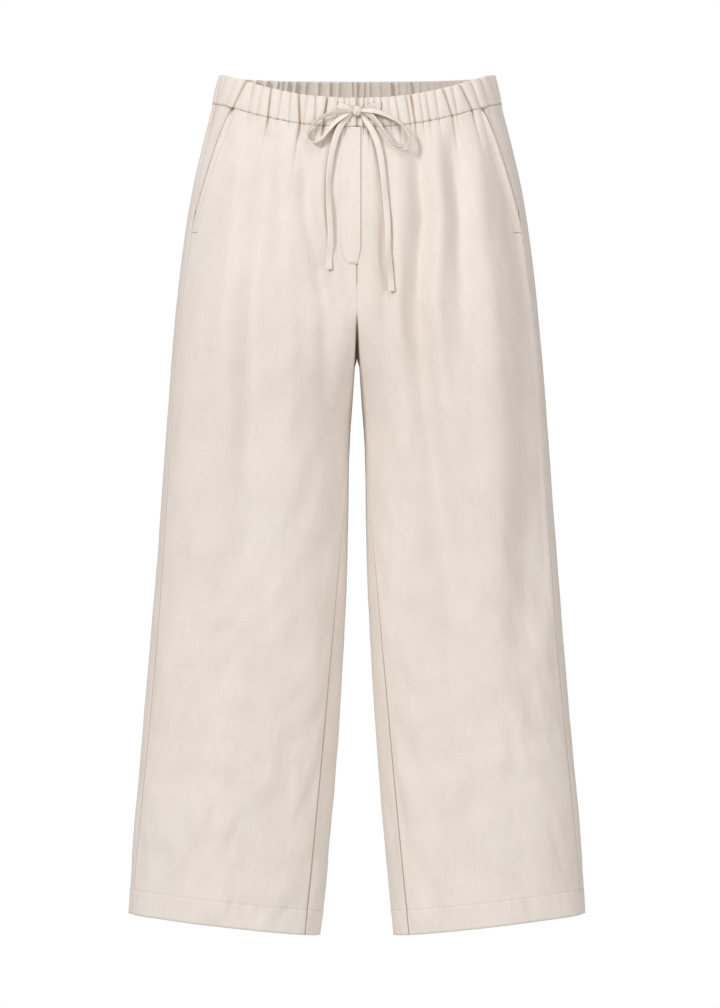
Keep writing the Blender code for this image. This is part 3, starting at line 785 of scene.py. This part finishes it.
def make_band(name, side, material):
    """Half of the band: its outline, from the seam up the outside and down the inside, swept round."""
    radius = BAND_CLOTH / 2
    turn = np.linspace(0.0, np.pi, 9)
    outside = np.linspace(WAIST_SEAM + 0.00002, BAND_TOP - radius, 15)
    profile = [(height, 0.0) for height in outside]
    profile += [(BAND_TOP - radius + radius * math.sin(t), -radius + radius * math.cos(t)) for t in turn[1:]]
    profile += [(height, -BAND_CLOTH) for height in outside[::-1][1:]]
    profile = np.array(profile)
    columns = BAND_COLUMNS
    rows, coordinates = [], []
    total = ring_at(0.0).cloth_length()
    for step, (height, offset) in enumerate(profile):
        ring = ring_at(height)
        distance = np.linspace(ring.front_end, ring.back_end, columns)
        x, y, nx, ny = ring.read(distance)
        place = (distance - ring.front_end) / ring.cloth_length() * total
        drop = np.full(columns, (BAND_TOP - height) / (BAND_TOP - WAIST_SEAM))
        relief = gathers(place, drop, side)
        bulge = BAND_BULGE * math.sin(math.pi * min(max(1.0 - drop[0], 0.0), 1.0)) ** 0.7
        ends = np.minimum(place, total - place)
        relief += edge_roll(ends)
        near_seam = np.clip(1.0 - (height - WAIST_SEAM) / 0.0022, 0.0, 1.0)
        outward = BAND_OUT + bulge - relief + offset
        if offset > -radius:
            snag = lattice_noise(place, place * 0, 0.0042, 1.0, 41) * 0.5 + 0.5
            outward = outward - (0.0001 + 0.0019 * snag**3) * near_seam**2
        z = height + tilt(x, y, height, ring.sizes)
        z = z - 0.30 * relief * smooth_step(height, BAND_TOP - 0.006, BAND_TOP)
        rows.append(np.stack([side * (x + nx * outward), y + ny * outward, z], axis=-1))
        along = place + 12.0 + 2.0 * (side > 0)
        coordinates.append(np.stack([along, np.full(columns, step * 0.0025)], axis=-1))
    rows, coordinates = np.array(rows), np.array(coordinates)
    count, width = rows.shape[:2]
    index = np.arange(count * width).reshape(count, width)
    ahead = np.roll(index, -1, axis=0)
    quads = np.stack([index[:, :-1], index[:, 1:], ahead[:, 1:], ahead[:, :-1]], axis=-1).reshape(-1, 4)
    caps = []
    for column, flip in ((0, 1), (width - 1, -1)):
        line = index[:, column]
        for step in range(count // 2 - 1):
            other = count - 1 - step
            face = [line[step], line[step + 1], line[other - 1], line[other]]
            caps.append(face[::flip])
    faces = np.concatenate([quads, np.array(caps)])
    if side < 0:
        faces = faces[:, ::-1]
    item = face_object(name, rows.reshape(-1, 3), faces, coordinates.reshape(-1, 2), material)
    close_ends(item)
    return item


def make_facing(name, side, material):
    """The hip piece in the pocket opening: flush at the side seam, under the front at the edge."""
    heights = np.linspace(WAIST_SEAM - 0.0001, POCKET_BOTTOM - 0.006, 91)
    points, normals, reliefs, coordinates = [], [], [], []
    for height in heights:
        ring = ring_at(height)
        width = max(float(pocket_width(height)), 0.001)
        end = ring.side_seam - SIDE_SLIT / 2
        distance = np.linspace(end - width - POCKET_UNDERLAP, end, 41)
        x, y, nx, ny = ring.read(distance)
        z = height + tilt(x, y, height, ring.sizes)
        under = 0.8 - 0.8 * smooth_step(distance, end - width + 0.0010, end - width + 0.0065)
        under += 0.2 - 0.2 * smooth_step(distance, end - width, end - 0.35 * width)
        place = (distance - ring.front_end) / ring.cloth_length() * ring_at(0.0).cloth_length()
        relief = waist_relief(place, np.full_like(place, height), side) * 0.8
        relief += edge_roll(end - distance) + POCKET_RECESS * under
        points.append(np.stack([side * (x - nx * relief), y - ny * relief, z], axis=-1))
        normals.append(np.stack([side * nx, ny, 0.0 * ny], axis=-1))
        reliefs.append(relief)
        coordinates.append(np.stack([distance + 20.0 + side, np.full_like(distance, height)], axis=-1))
    wall = [np.array(rows) for rows in (points, normals, reliefs)]
    thick = np.full_like(wall[2], CLOTH)
    return grid_mesh(name, *wall, thick, np.array(coordinates), side, material)


def make_fly(name, fronts, material):
    """The folded edge of the mock fly: level with the front at its sewn edge, proud at its lap."""
    heights = [height for height in panel_heights() if height >= FLY_BOTTOM]
    heights = heights[len(heights) % 2 == 0 :]
    points, normals, reliefs, coordinates = [], [], [], []
    right, left = fronts[-1], fronts[1]
    for height in heights:
        row = int(np.argmin(np.abs(left.heights - height)))
        ring = ring_at(height)
        above = (height - FLY_BOTTOM) / FLY_CURVE
        width = FLY_WIDTH * math.sqrt(max(1.0 - max(1.0 - above, 0.0) ** 2, 0.01))
        close = smooth_step(height, FLY_BOTTOM + FLY_CURVE, FLY_BOTTOM)
        lap = FLY_LAP * (1.0 - 0.85 * close)
        signed = np.concatenate([np.linspace(-width, -0.0003, 24), np.linspace(0.0003, lap, 9)])
        sides = np.sign(signed)
        x, y, nx, ny = ring.read(ring.front_end + np.abs(signed))
        under = np.where(
            signed < 0,
            np.interp(np.abs(signed), right.start_in[row], right.relief[row]),
            np.interp(np.abs(signed), left.start_in[row], left.relief[row]),
        )
        under = under - edge_roll(np.abs(signed))
        proud = FLY_PROUD * (1.0 - 0.6 * close)
        rise = 0.0001 + proud * smooth_step(signed, -0.6 * width, lap - 0.0008)
        rise = rise - 0.0004 * np.clip(1.0 - (lap - signed) / 0.0008, 0.0, 1.0)
        offset = rise - under
        z = height + tilt(x, y, height, ring.sizes)
        points.append(np.stack([sides * (x + nx * offset), y + ny * offset, z], axis=-1))
        normals.append(np.stack([sides * nx, ny, 0.0 * ny], axis=-1))
        reliefs.append(-offset)
        coordinates.append(np.stack([signed + 24.0, np.full_like(signed, height)], axis=-1))
    wall = [np.array(rows) for rows in (points, normals, reliefs)]
    thick = np.full_like(wall[2], 0.0003)
    grid, outward = wall[:2]
    curve = max(len(heights) - 12, 0)
    line = [np.concatenate([part[curve:-2, 2], part[-2, 3:22]]) for part in (grid, outward)]
    return grid_mesh(name, *wall, thick, np.array(coordinates), 1, material), line


# ------------------------------------------------------------------ drawstring
def front_surface(x, height):
    nominal = height
    for _ in range(12):
        ring = ring_at(min(nominal, BAND_TOP))
        reach, _, depth = ring.front_face()
        y = np.interp(abs(x), reach, depth)
        nominal = round(height - float(tilt(abs(x), y, nominal, ring.sizes)), 5)
    return y


def smooth_route(rows, steps=12):
    rows = np.array(rows, float)
    rows = np.concatenate([2 * rows[:1] - rows[1:2], rows, 2 * rows[-1:] - rows[-2:-1]])
    share = np.linspace(0.0, 1.0, steps, endpoint=False)[:, None]
    pieces = []
    for before, start, end, after in zip(rows, rows[1:], rows[2:], rows[3:]):
        pieces.append(
            0.5
            * (
                2 * start
                + (end - before) * share
                + (2 * before - 5 * start + 4 * end - after) * share**2
                + (3 * start - before - 3 * end + after) * share**3
            )
        )
    return np.concatenate([*pieces, rows[-2:-1]])


def make_tape(name, strand, loop, tail, material):
    """One ribbon from the buttonhole through the knot, round the loop and down the tail."""
    x, height, off = KNOT_CENTRE
    rows = [*strand, (x, height, off, 20), *loop, (x, height - 0.6, off - 0.8, 25), *tail]
    route = smooth_route(rows)
    places = np.array(
        [(a / 1000, front_surface(a / 1000, b / 1000) - c / 1000, b / 1000) for a, b, c, _ in route]
    )
    along = lengths(places)
    steps = np.linspace(0.0, along[-1], round(along[-1] / 0.0009))
    centre = np.stack([np.interp(steps, along, column) for column in places.T], axis=1)
    kernel = np.hanning(9)
    kernel /= kernel.sum()
    padded = np.concatenate([centre[:1].repeat(4, 0), centre, centre[-1:].repeat(4, 0)])
    centre = np.stack([np.convolve(column, kernel, "valid") for column in padded.T], axis=1)
    turns = np.radians(np.interp(steps, along, route[:, 3]))
    tangent = np.gradient(centre, steps, axis=0)
    tangent /= np.linalg.norm(tangent, axis=1, keepdims=True)
    across = np.cross(tangent, np.array([0.0, -1.0, 0.0]))
    across /= np.maximum(np.linalg.norm(across, axis=1, keepdims=True), 1e-6)
    outward = np.cross(across, tangent)
    wide = across * np.cos(turns)[:, None] + outward * np.sin(turns)[:, None]
    thick = np.cross(wide, tangent)
    knot_place = np.array([x / 1000, front_surface(0.0, height / 1000) - off / 1000, height / 1000])
    away = np.linalg.norm(centre - knot_place, axis=1)
    width = TAPE_WIDTH / 2 * (NECK + (1 - NECK) * smooth_step(away, 0.004, NECK_LENGTH + 0.006))
    width *= 1.0 + 0.05 * lattice_noise(steps, steps * 0, 0.021, 1.0, 31)
    end = smooth_step(steps, steps[-1] - 0.0075, steps[-1] - 0.0065)
    width *= 1.0 + 0.10 * end
    body = TAPE_CLOTH / 2 * (1.0 + 0.7 * end)
    upper = [(-0.97, 0.75), (-0.85, 1.0), (-0.45, 0.92), (0.0, 0.88)]
    upper += [(0.45, 0.92), (0.85, 1.0), (0.97, 0.75)]
    profile = [(-1.0, 0.0), *upper, (1.0, 0.0), *((a, -b) for a, b in reversed(upper))]
    grid, coordinates = [], []
    cup = 0.10 + 0.10 * lattice_noise(steps, steps * 0, 0.035, 1.0, 32)
    for a, b in profile:
        bow = (a * a - 0.4) * cup * width
        grid.append(centre + wide * (width * a)[:, None] + thick * (body * b - bow)[:, None])
        coordinates.append(np.stack([30.0 + a * 0.004 + 0.0 * steps, steps + 0.02 * b], axis=-1))
    grid = np.stack(grid, axis=1)
    coordinates = np.stack(coordinates, axis=1)
    count, ring = grid.shape[:2]
    index = np.arange(count * ring).reshape(count, ring)
    ahead = np.roll(index, -1, axis=1)
    quads = np.stack([index[:-1], ahead[:-1], ahead[1:], index[1:]], axis=-1).reshape(-1, 4)
    caps = []
    for line, flip in ((index[0], -1), (index[-1], 1)):
        for step in range(1, ring // 2 - 1):
            face = [line[step], line[step + 1], line[ring - step - 1], line[ring - step]]
            caps.append(face[::flip])
    faces = np.concatenate([quads, np.array(caps)])
    item = face_object(name, grid.reshape(-1, 3), faces, coordinates.reshape(-1, 2), material)
    close_ends(item)
    return item, centre, float(lengths(centre)[-1])


def close_ends(item):
    """Fills what is still open at a ribbon's ends."""
    form = bmesh.new()
    form.from_mesh(item.data)
    open_edges = [edge for edge in form.edges if len(edge.link_faces) == 1]
    if open_edges:
        bmesh.ops.holes_fill(form, edges=open_edges, sides=0)
    bmesh.ops.recalc_face_normals(form, faces=form.faces)
    form.to_mesh(item.data)
    form.free()


def make_knot(name, material):
    """The knot: the tape wrapped once over itself, a slanted bean with soft wrap creases."""
    x, height, off = (value / 1000 for value in KNOT_CENTRE)
    centre = np.array([x, front_surface(x, height) - off, height])
    rings, around = 40, 64
    theta = np.linspace(0.0, np.pi, rings + 2)[1:-1]
    phi = np.linspace(0.0, 2 * np.pi, around, endpoint=False)
    t, p = np.meshgrid(theta, phi, indexing="ij")
    a = np.cos(t)
    girth = np.sin(t) ** 0.5
    across = a * 0.0050
    forward = girth * np.cos(p) * 0.0043
    up = girth * np.sin(p) * 0.0066
    crease = 0.0010 * np.exp(-(((a - 0.30 - 0.25 * np.sin(p)) / 0.10) ** 2))
    crease += 0.0008 * np.exp(-(((a + 0.42 - 0.20 * np.sin(p)) / 0.09) ** 2))
    swell = 1.0 - crease / 0.0043 + 0.03 * np.sin(3 * p + 2 * a)
    forward, up = forward * swell, up * swell
    lean = math.radians(-16.0)
    place = np.stack(
        [
            across * math.cos(lean) - up * math.sin(lean),
            -forward,
            across * math.sin(lean) + up * math.cos(lean),
        ],
        axis=-1,
    )
    grid = centre + place
    index = np.arange(rings * around).reshape(rings, around)
    ahead = np.roll(index, -1, axis=1)
    quads = np.stack([index[:-1], ahead[:-1], ahead[1:], index[1:]], axis=-1).reshape(-1, 4)
    coordinates = np.stack([34.0 + a * 0.005, p * 0.005], axis=-1).reshape(-1, 2)
    item = face_object(name, grid.reshape(-1, 3), quads, coordinates, material)
    close_ends(item)
    return item


# ------------------------------------------------------------------ stitches
def stitch_mesh(name, lines, material, thread=0.00042, stitch=0.0026, gap=0.0008):
    """Rows of short threads, each sunk at its ends, along lines of (points, normals)."""
    points, faces = [], []
    sides = 6
    for places, normals in lines:
        along = lengths(places)
        start = 0.0
        while start + stitch < along[-1]:
            span = np.linspace(start, start + stitch, 5)
            centre = np.stack([np.interp(span, along, column) for column in places.T], axis=1)
            normal = np.stack([np.interp(span, along, column) for column in normals.T], axis=1)
            normal /= np.linalg.norm(normal, axis=1, keepdims=True)
            tangent = centre[-1] - centre[0]
            tangent /= np.linalg.norm(tangent)
            across = np.cross(tangent, normal)
            arch = np.array([-0.6, 0.25, 0.45, 0.25, -0.6]) * thread
            size = np.array([0.55, 0.95, 1.0, 0.95, 0.55]) * thread / 2
            centre = centre + normal * arch[:, None]
            base = len(points)
            for row in range(5):
                for turn in range(sides):
                    angle = 2 * math.pi * turn / sides
                    points.append(
                        centre[row]
                        + across[row] * (size[row] * math.cos(angle))
                        + normal[row] * (size[row] * math.sin(angle))
                    )
            for row in range(4):
                for turn in range(sides):
                    after = (turn + 1) % sides
                    low, high = base + row * sides, base + (row + 1) * sides
                    faces.append((low + turn, low + after, high + after, high + turn))
            for low, flip in ((base, -1), (base + 4 * sides, 1)):
                faces.append(tuple([low, low + 1, low + 2, low + 3][::flip]))
                faces.append(tuple([low, low + 3, low + 4, low + 5][::flip]))
            start += stitch + gap
    item = face_object(name, np.array(points), np.array(faces), None, material)
    close_ends(item)
    return item


def pocket_line(panel):
    """Points and normals along the topstitch beside the pocket's edge."""
    points, normals = [], []
    columns = np.arange(PANEL_COLUMNS)
    for height in np.linspace(WAIST_SEAM - 0.001, POCKET_BOTTOM + 0.004, 90):
        row = int(np.argmin(np.abs(panel.heights - height)))
        place = panel.start_in[row, -1] - TOPSTITCH_IN
        column = np.interp(place, panel.start_in[row], columns)
        grids = (panel.x, panel.y, panel.nx, panel.ny, panel.z, panel.relief)
        x, y, nx, ny, z, relief = (np.interp(column, columns, grid[row]) for grid in grids)
        points.append((panel.side * (x - nx * relief), y - ny * relief, z))
        normals.append((panel.side * nx, ny, 0.0))
    return np.array(points), np.array(normals)


def hem_line(panel):
    """Along the hem's stitches, from one edge of the panel to the other."""
    row = int(np.argmin(np.abs(panel.heights - (HEM + HEM_DEPTH))))
    return panel.points()[row], panel.normals()[row]


def band_point(x, height):
    """A point on the front of the band near its middle, on its outer face."""
    side = 1 if x > 0 else -1
    nominal = height + FRONT_DIP
    ring = ring_at(nominal)
    reach, distances, _ = ring.front_face()
    distance = np.interp(abs(x), reach, distances)
    place = np.array([distance - ring.front_end])
    share = (BAND_TOP - nominal) / (BAND_TOP - WAIST_SEAM)
    relief = float(gathers(place, np.array([share]), side)[0])
    bulge = BAND_BULGE * math.sin(math.pi * share) ** 0.7
    return (x, float(ring.read(distance)[1]) - BAND_OUT - bulge + relief, height)


def buttonhole(x, top, foot):
    """Stitched edges and end bars of a buttonhole, as lines of (points, normals)."""
    out = np.array([[0.0, -1.0, 0.0]])
    lines = []
    for aside in (-0.0007, 0.0007):
        points = np.array([band_point(x + aside, height) for height in np.linspace(top, foot, 9)])
        lines.append((points, out.repeat(9, 0)))
    for height in (top, top - 0.0005, foot + 0.0005, foot):
        points = np.array([band_point(x + aside, height) for aside in (-0.0015, 0.0, 0.0015)])
        lines.append((points, out.repeat(3, 0)))
    return lines


def bar_tack(panel, height, near, far):
    """A short dense bar across the foot of a pocket."""
    row = int(np.argmin(np.abs(panel.heights - height)))
    lines = []
    for step in (0, 0.0001):
        places = np.linspace(near + step, far + step, 5)
        inward = panel.start_in[row, -1] - places
        columns = [int(np.argmin(np.abs(panel.start_in[row] - value))) for value in inward]
        lower = np.array([0.0, 0.0, -2.0 * step])
        lines.append((panel.points()[row, columns] + lower, panel.normals()[row, columns]))
    return lines


# ------------------------------------------------------------------ materials
class Nodes:
    """Short calls for building a material's nodes."""

    def __init__(self, name):
        self.material = bpy.data.materials.new(name)
        self.material.use_nodes = True
        self.tree = self.material.node_tree
        self.shader = self.tree.nodes["Principled BSDF"]

    def add(self, kind, **settings):
        node = self.tree.nodes.new(kind)
        for key, value in settings.items():
            setattr(node, key, value)
        return node

    def link(self, source, target):
        self.tree.links.new(source, target)

    def mapped(self, coordinates, scale):
        node = self.add("ShaderNodeMapping")
        node.inputs["Scale"].default_value = scale
        self.link(coordinates, node.inputs["Vector"])
        return node.outputs["Vector"]

    def noise(self, vector, scale, detail=2.0, roughness=0.5):
        node = self.add("ShaderNodeTexNoise")
        node.inputs["Scale"].default_value = scale
        node.inputs["Detail"].default_value = detail
        node.inputs["Roughness"].default_value = roughness
        self.link(vector, node.inputs["Vector"])
        return node.outputs["Fac"]

    def wave(self, vector, direction, distortion=0.6):
        node = self.add("ShaderNodeTexWave", wave_type="BANDS", bands_direction=direction)
        node.inputs["Scale"].default_value = 1.0
        node.inputs["Distortion"].default_value = distortion
        node.inputs["Detail"].default_value = 1.0
        self.link(vector, node.inputs["Vector"])
        return node.outputs["Fac"]

    def math(self, operation, first, second):
        node = self.add("ShaderNodeMath", operation=operation)
        for socket, value in zip(node.inputs, (first, second)):
            if isinstance(value, (int, float)):
                socket.default_value = value
            else:
                self.link(value, socket)
        return node.outputs[0]

    def weighted(self, *pairs):
        """The sum of some values, each times its weight."""
        total = None
        for value, weight in pairs:
            part = self.math("MULTIPLY", value, weight)
            total = part if total is None else self.math("ADD", total, part)
        return total

    def bump(self, height, strength, distance, normal=None):
        node = self.add("ShaderNodeBump")
        node.inputs["Strength"].default_value = strength
        node.inputs["Distance"].default_value = distance
        self.link(height, node.inputs["Height"])
        if normal is not None:
            self.link(normal, node.inputs["Normal"])
        return node.outputs["Normal"]

    def ramp(self, factor, stops):
        node = self.add("ShaderNodeValToRGB")
        elements = node.color_ramp.elements
        while len(elements) < len(stops):
            elements.new(0.5)
        for element, (position, colour) in zip(elements, stops):
            element.position = position
            element.color = (*colour, 1.0)
        self.link(factor, node.inputs["Fac"])
        return node.outputs["Color"]

    def mix(self, factor, first, second, blend="MIX"):
        node = self.add("ShaderNodeMix", data_type="RGBA", blend_type=blend)
        if isinstance(factor, (int, float)):
            node.inputs["Factor"].default_value = factor
        else:
            self.link(factor, node.inputs["Factor"])
        for key, value in (("A", first), ("B", second)):
            socket = [s for s in node.inputs if s.name == key and s.type == "RGBA"][0]
            if isinstance(value, tuple):
                socket.default_value = (*value, 1.0)
            else:
                self.link(value, socket)
        return [s for s in node.outputs if s.type == "RGBA"][0]


def linen(name, light, dark, reach=0.009):
    """Plain-woven linen on the cloth's own coordinates, in metres: threads, slubs and mottling.
    Creases, recesses and gaps between parts get painted shade, darker and warmer within reach of their
    walls."""
    n = Nodes(name)
    grain = n.add("ShaderNodeUVMap", uv_map="grain").outputs["UV"]
    space = n.add("ShaderNodeTexCoord").outputs["Object"]
    warp_slub = n.noise(n.mapped(grain, (900.0, 22.0, 1.0)), 1.0, 3.0, 0.6)
    weft_slub = n.noise(n.mapped(grain, (24.0, 900.0, 1.0)), 1.0, 3.0, 0.6)
    streak = n.noise(n.mapped(grain, (240.0, 26.0, 1.0)), 1.0, 3.0, 0.55)
    fleck = n.noise(n.mapped(grain, (520.0, 240.0, 1.0)), 1.0, 2.0, 0.5)
    cloud = n.noise(n.mapped(space, (1.0, 1.0, 0.55)), 26.0, 4.0, 0.55)
    tone = n.noise(n.mapped(space, (1.0, 1.0, 0.6)), 5.0, 2.0, 0.5)
    threads = n.weighted((warp_slub, 0.5), (weft_slub, 0.5))
    blend = n.weighted((threads, 0.42), (streak, 0.14), (cloud, 0.30), (fleck, 0.14))
    middle = tuple((a + b) / 2 for a, b in zip(light, dark))
    base = n.ramp(blend, ((0.30, dark), (0.50, middle), (0.68, light)))
    warm = n.ramp(tone, ((0.36, (1.0, 0.985, 0.972)), (0.64, (0.985, 0.992, 0.995))))
    colour = n.mix(1.0, base, warm, "MULTIPLY")
    # Painted shade: where ambient occlusion finds walls within reach, the colour is multiplied darker and
    # warmer.
    shade = n.add("ShaderNodeAmbientOcclusion", samples=8)
    shade.inputs["Distance"].default_value = reach
    painted_shade_stops = ((0.25, PAINTED_CREASE_SHADE), (0.62, SHADE_TINT), (0.86, (1.0, 1.0, 1.0)))
    depth = n.ramp(shade.outputs["AO"], painted_shade_stops)
    colour = n.mix(1.0, colour, depth, "MULTIPLY")
    n.link(colour, n.shader.inputs["Base Color"])
    rough = n.math("ADD", 0.78, n.math("MULTIPLY", threads, 0.24))
    n.link(rough, n.shader.inputs["Roughness"])
    warp = n.wave(n.mapped(grain, (230.0, 20.0, 1.0)), "X")
    weft = n.wave(n.mapped(grain, (20.0, 230.0, 1.0)), "Y")
    relief = n.weighted((warp, 0.30), (weft, 0.30), (threads, 0.9))
    crush = n.noise(n.mapped(space, (1.0, 1.0, 0.7)), 75.0, 3.0, 0.55)
    woven = n.bump(relief, 0.35, 0.0003)
    n.link(n.bump(crush, 0.22, 0.0016, woven), n.shader.inputs["Normal"])
    n.shader.inputs["Sheen Weight"].default_value = 0.12
    n.shader.inputs["Sheen Roughness"].default_value = 0.5
    n.shader.inputs["Specular IOR Level"].default_value = 0.18
    return n.material


def thread_material(name, colour):
    n = Nodes(name)
    space = n.add("ShaderNodeTexCoord").outputs["Object"]
    twist = n.noise(space, 1800.0, 2.0)
    shade = n.ramp(twist, ((0.3, tuple(0.86 * c for c in colour)), (0.7, colour)))
    n.link(shade, n.shader.inputs["Base Color"])
    n.shader.inputs["Roughness"].default_value = 0.7
    n.link(n.bump(twist, 0.3, 0.0001), n.shader.inputs["Normal"])
    return n.material


# ------------------------------------------------------------------ build
def build():
    make_camera()
    tape = linen("linen_tape", TAPE_LIGHT, TAPE_DARK)
    cloth = linen("linen", LINEN_LIGHT, LINEN_DARK)
    # The pocket facing's linen has painted shade that reaches further, so it is darker beside the front's
    # edge.
    pocket = linen("linen_in_pocket_deeper_painted_shade", LINEN_LIGHT, LINEN_DARK, reach=0.035)
    thread = thread_material("sewing_thread", THREAD)

    knot = make_knot("knot", tape)
    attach(knot, "root")
    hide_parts("drawstring_knot")
    runs = (
        ("tape_a", STRAND_RIGHT, LOOP_LEFT, TAIL_RIGHT, "right", "left", (knot,)),
        ("tape_b", STRAND_LEFT, LOOP_RIGHT, TAIL_LEFT, "left", "right", ()),
    )
    for name, strand, loop, tail, from_side, loop_side, extras in runs:
        item, centre, length = make_tape(name, strand, loop, tail, tape)
        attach(item, "root")
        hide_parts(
            f"drawstring_strand_{from_side}",
            f"drawstring_loop_{loop_side}",
            f"drawstring_tail_{from_side}",
        )

    fronts = {}
    stitch_lines = []
    bars = []
    for word, side in (("left", 1), ("right", -1)):
        item, panel = make_front(f"front_{word}_cloth", side, cloth)
        fronts[side] = panel
        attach(item, "root")
        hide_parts(f"front_{word}")
        stitch_lines += [hem_line(panel), pocket_line(panel)]
        bars += bar_tack(panel, POCKET_BOTTOM - 0.003, *BAR_TACK)

        item, panel = make_back(f"back_{word}_cloth", side, cloth)
        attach(item, "root")
        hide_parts(f"back_{word}")
        stitch_lines.append(hem_line(panel))

        item = make_band(f"band_{word}", side, cloth)
        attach(item, "root")
        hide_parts(f"waistband_{word}")

        item = make_facing(f"pocket_facing_{word}_cloth", side, pocket)
        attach(item, "root")
        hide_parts(f"pocket_facing_{word}")

    item, line = make_fly("mock_fly_cloth", fronts, cloth)
    stitch_lines.append(line)
    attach(item, "root")
    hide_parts("mock_fly")

    item = stitch_mesh("stitches", stitch_lines, thread)
    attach(item, "root")
    for hole in BUTTONHOLES:
        bars += buttonhole(*hole)
    dark = thread_material("buttonhole_thread", DARK_THREAD)
    item = stitch_mesh("bars_and_buttonholes", bars, dark, 0.00070, 0.0011, 0.0002)
    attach(item, "root")


# ------------------------------------------------------------------ studio
def area_light(name, place, aim, size, power, colour):
    data = bpy.data.lights.new(name, "AREA")
    data.shape = "DISK"
    data.size = size
    data.energy = power
    data.color = colour
    light = bpy.data.objects.new(name, data)
    light.location = place
    direction = np.array(aim) - np.array(place)
    light.rotation_euler = Vector(direction).to_track_quat("-Z", "Y").to_euler()
    bpy.context.scene.collection.objects.link(light)


def studio():
    n = Nodes("floor")
    n.shader.inputs["Base Color"].default_value = (0.92, 0.92, 0.92, 1.0)
    n.shader.inputs["Roughness"].default_value = 0.9
    place = (0.0, 0.0, FLOOR_HEIGHT)
    bpy.ops.mesh.primitive_circle_add(vertices=96, radius=FLOOR_RADIUS, fill_type="NGON", location=place)
    floor = bpy.context.object
    floor.name = "floor"
    floor.data.materials.append(n.material)

    world = bpy.data.worlds.new("studio")
    bpy.context.scene.world = world
    world.use_nodes = True
    tree = world.node_tree
    tree.nodes.clear()
    path = tree.nodes.new("ShaderNodeLightPath")
    seen = tree.nodes.new("ShaderNodeBackground")
    seen.inputs["Color"].default_value = (1.0, 1.0, 1.0, 1.0)
    seen.inputs["Strength"].default_value = 1.0
    lit = tree.nodes.new("ShaderNodeBackground")
    lit.inputs["Color"].default_value = WORLD_COLOUR
    lit.inputs["Strength"].default_value = WORLD_STRENGTH
    mix = tree.nodes.new("ShaderNodeMixShader")
    out = tree.nodes.new("ShaderNodeOutputWorld")
    tree.links.new(path.outputs["Is Camera Ray"], mix.inputs["Fac"])
    tree.links.new(lit.outputs["Background"], mix.inputs[1])
    tree.links.new(seen.outputs["Background"], mix.inputs[2])
    tree.links.new(mix.outputs["Shader"], out.inputs["Surface"])

    for light in LIGHTS:
        area_light(*light)
    bpy.context.scene.view_settings.view_transform = "Standard"


build()
studio()
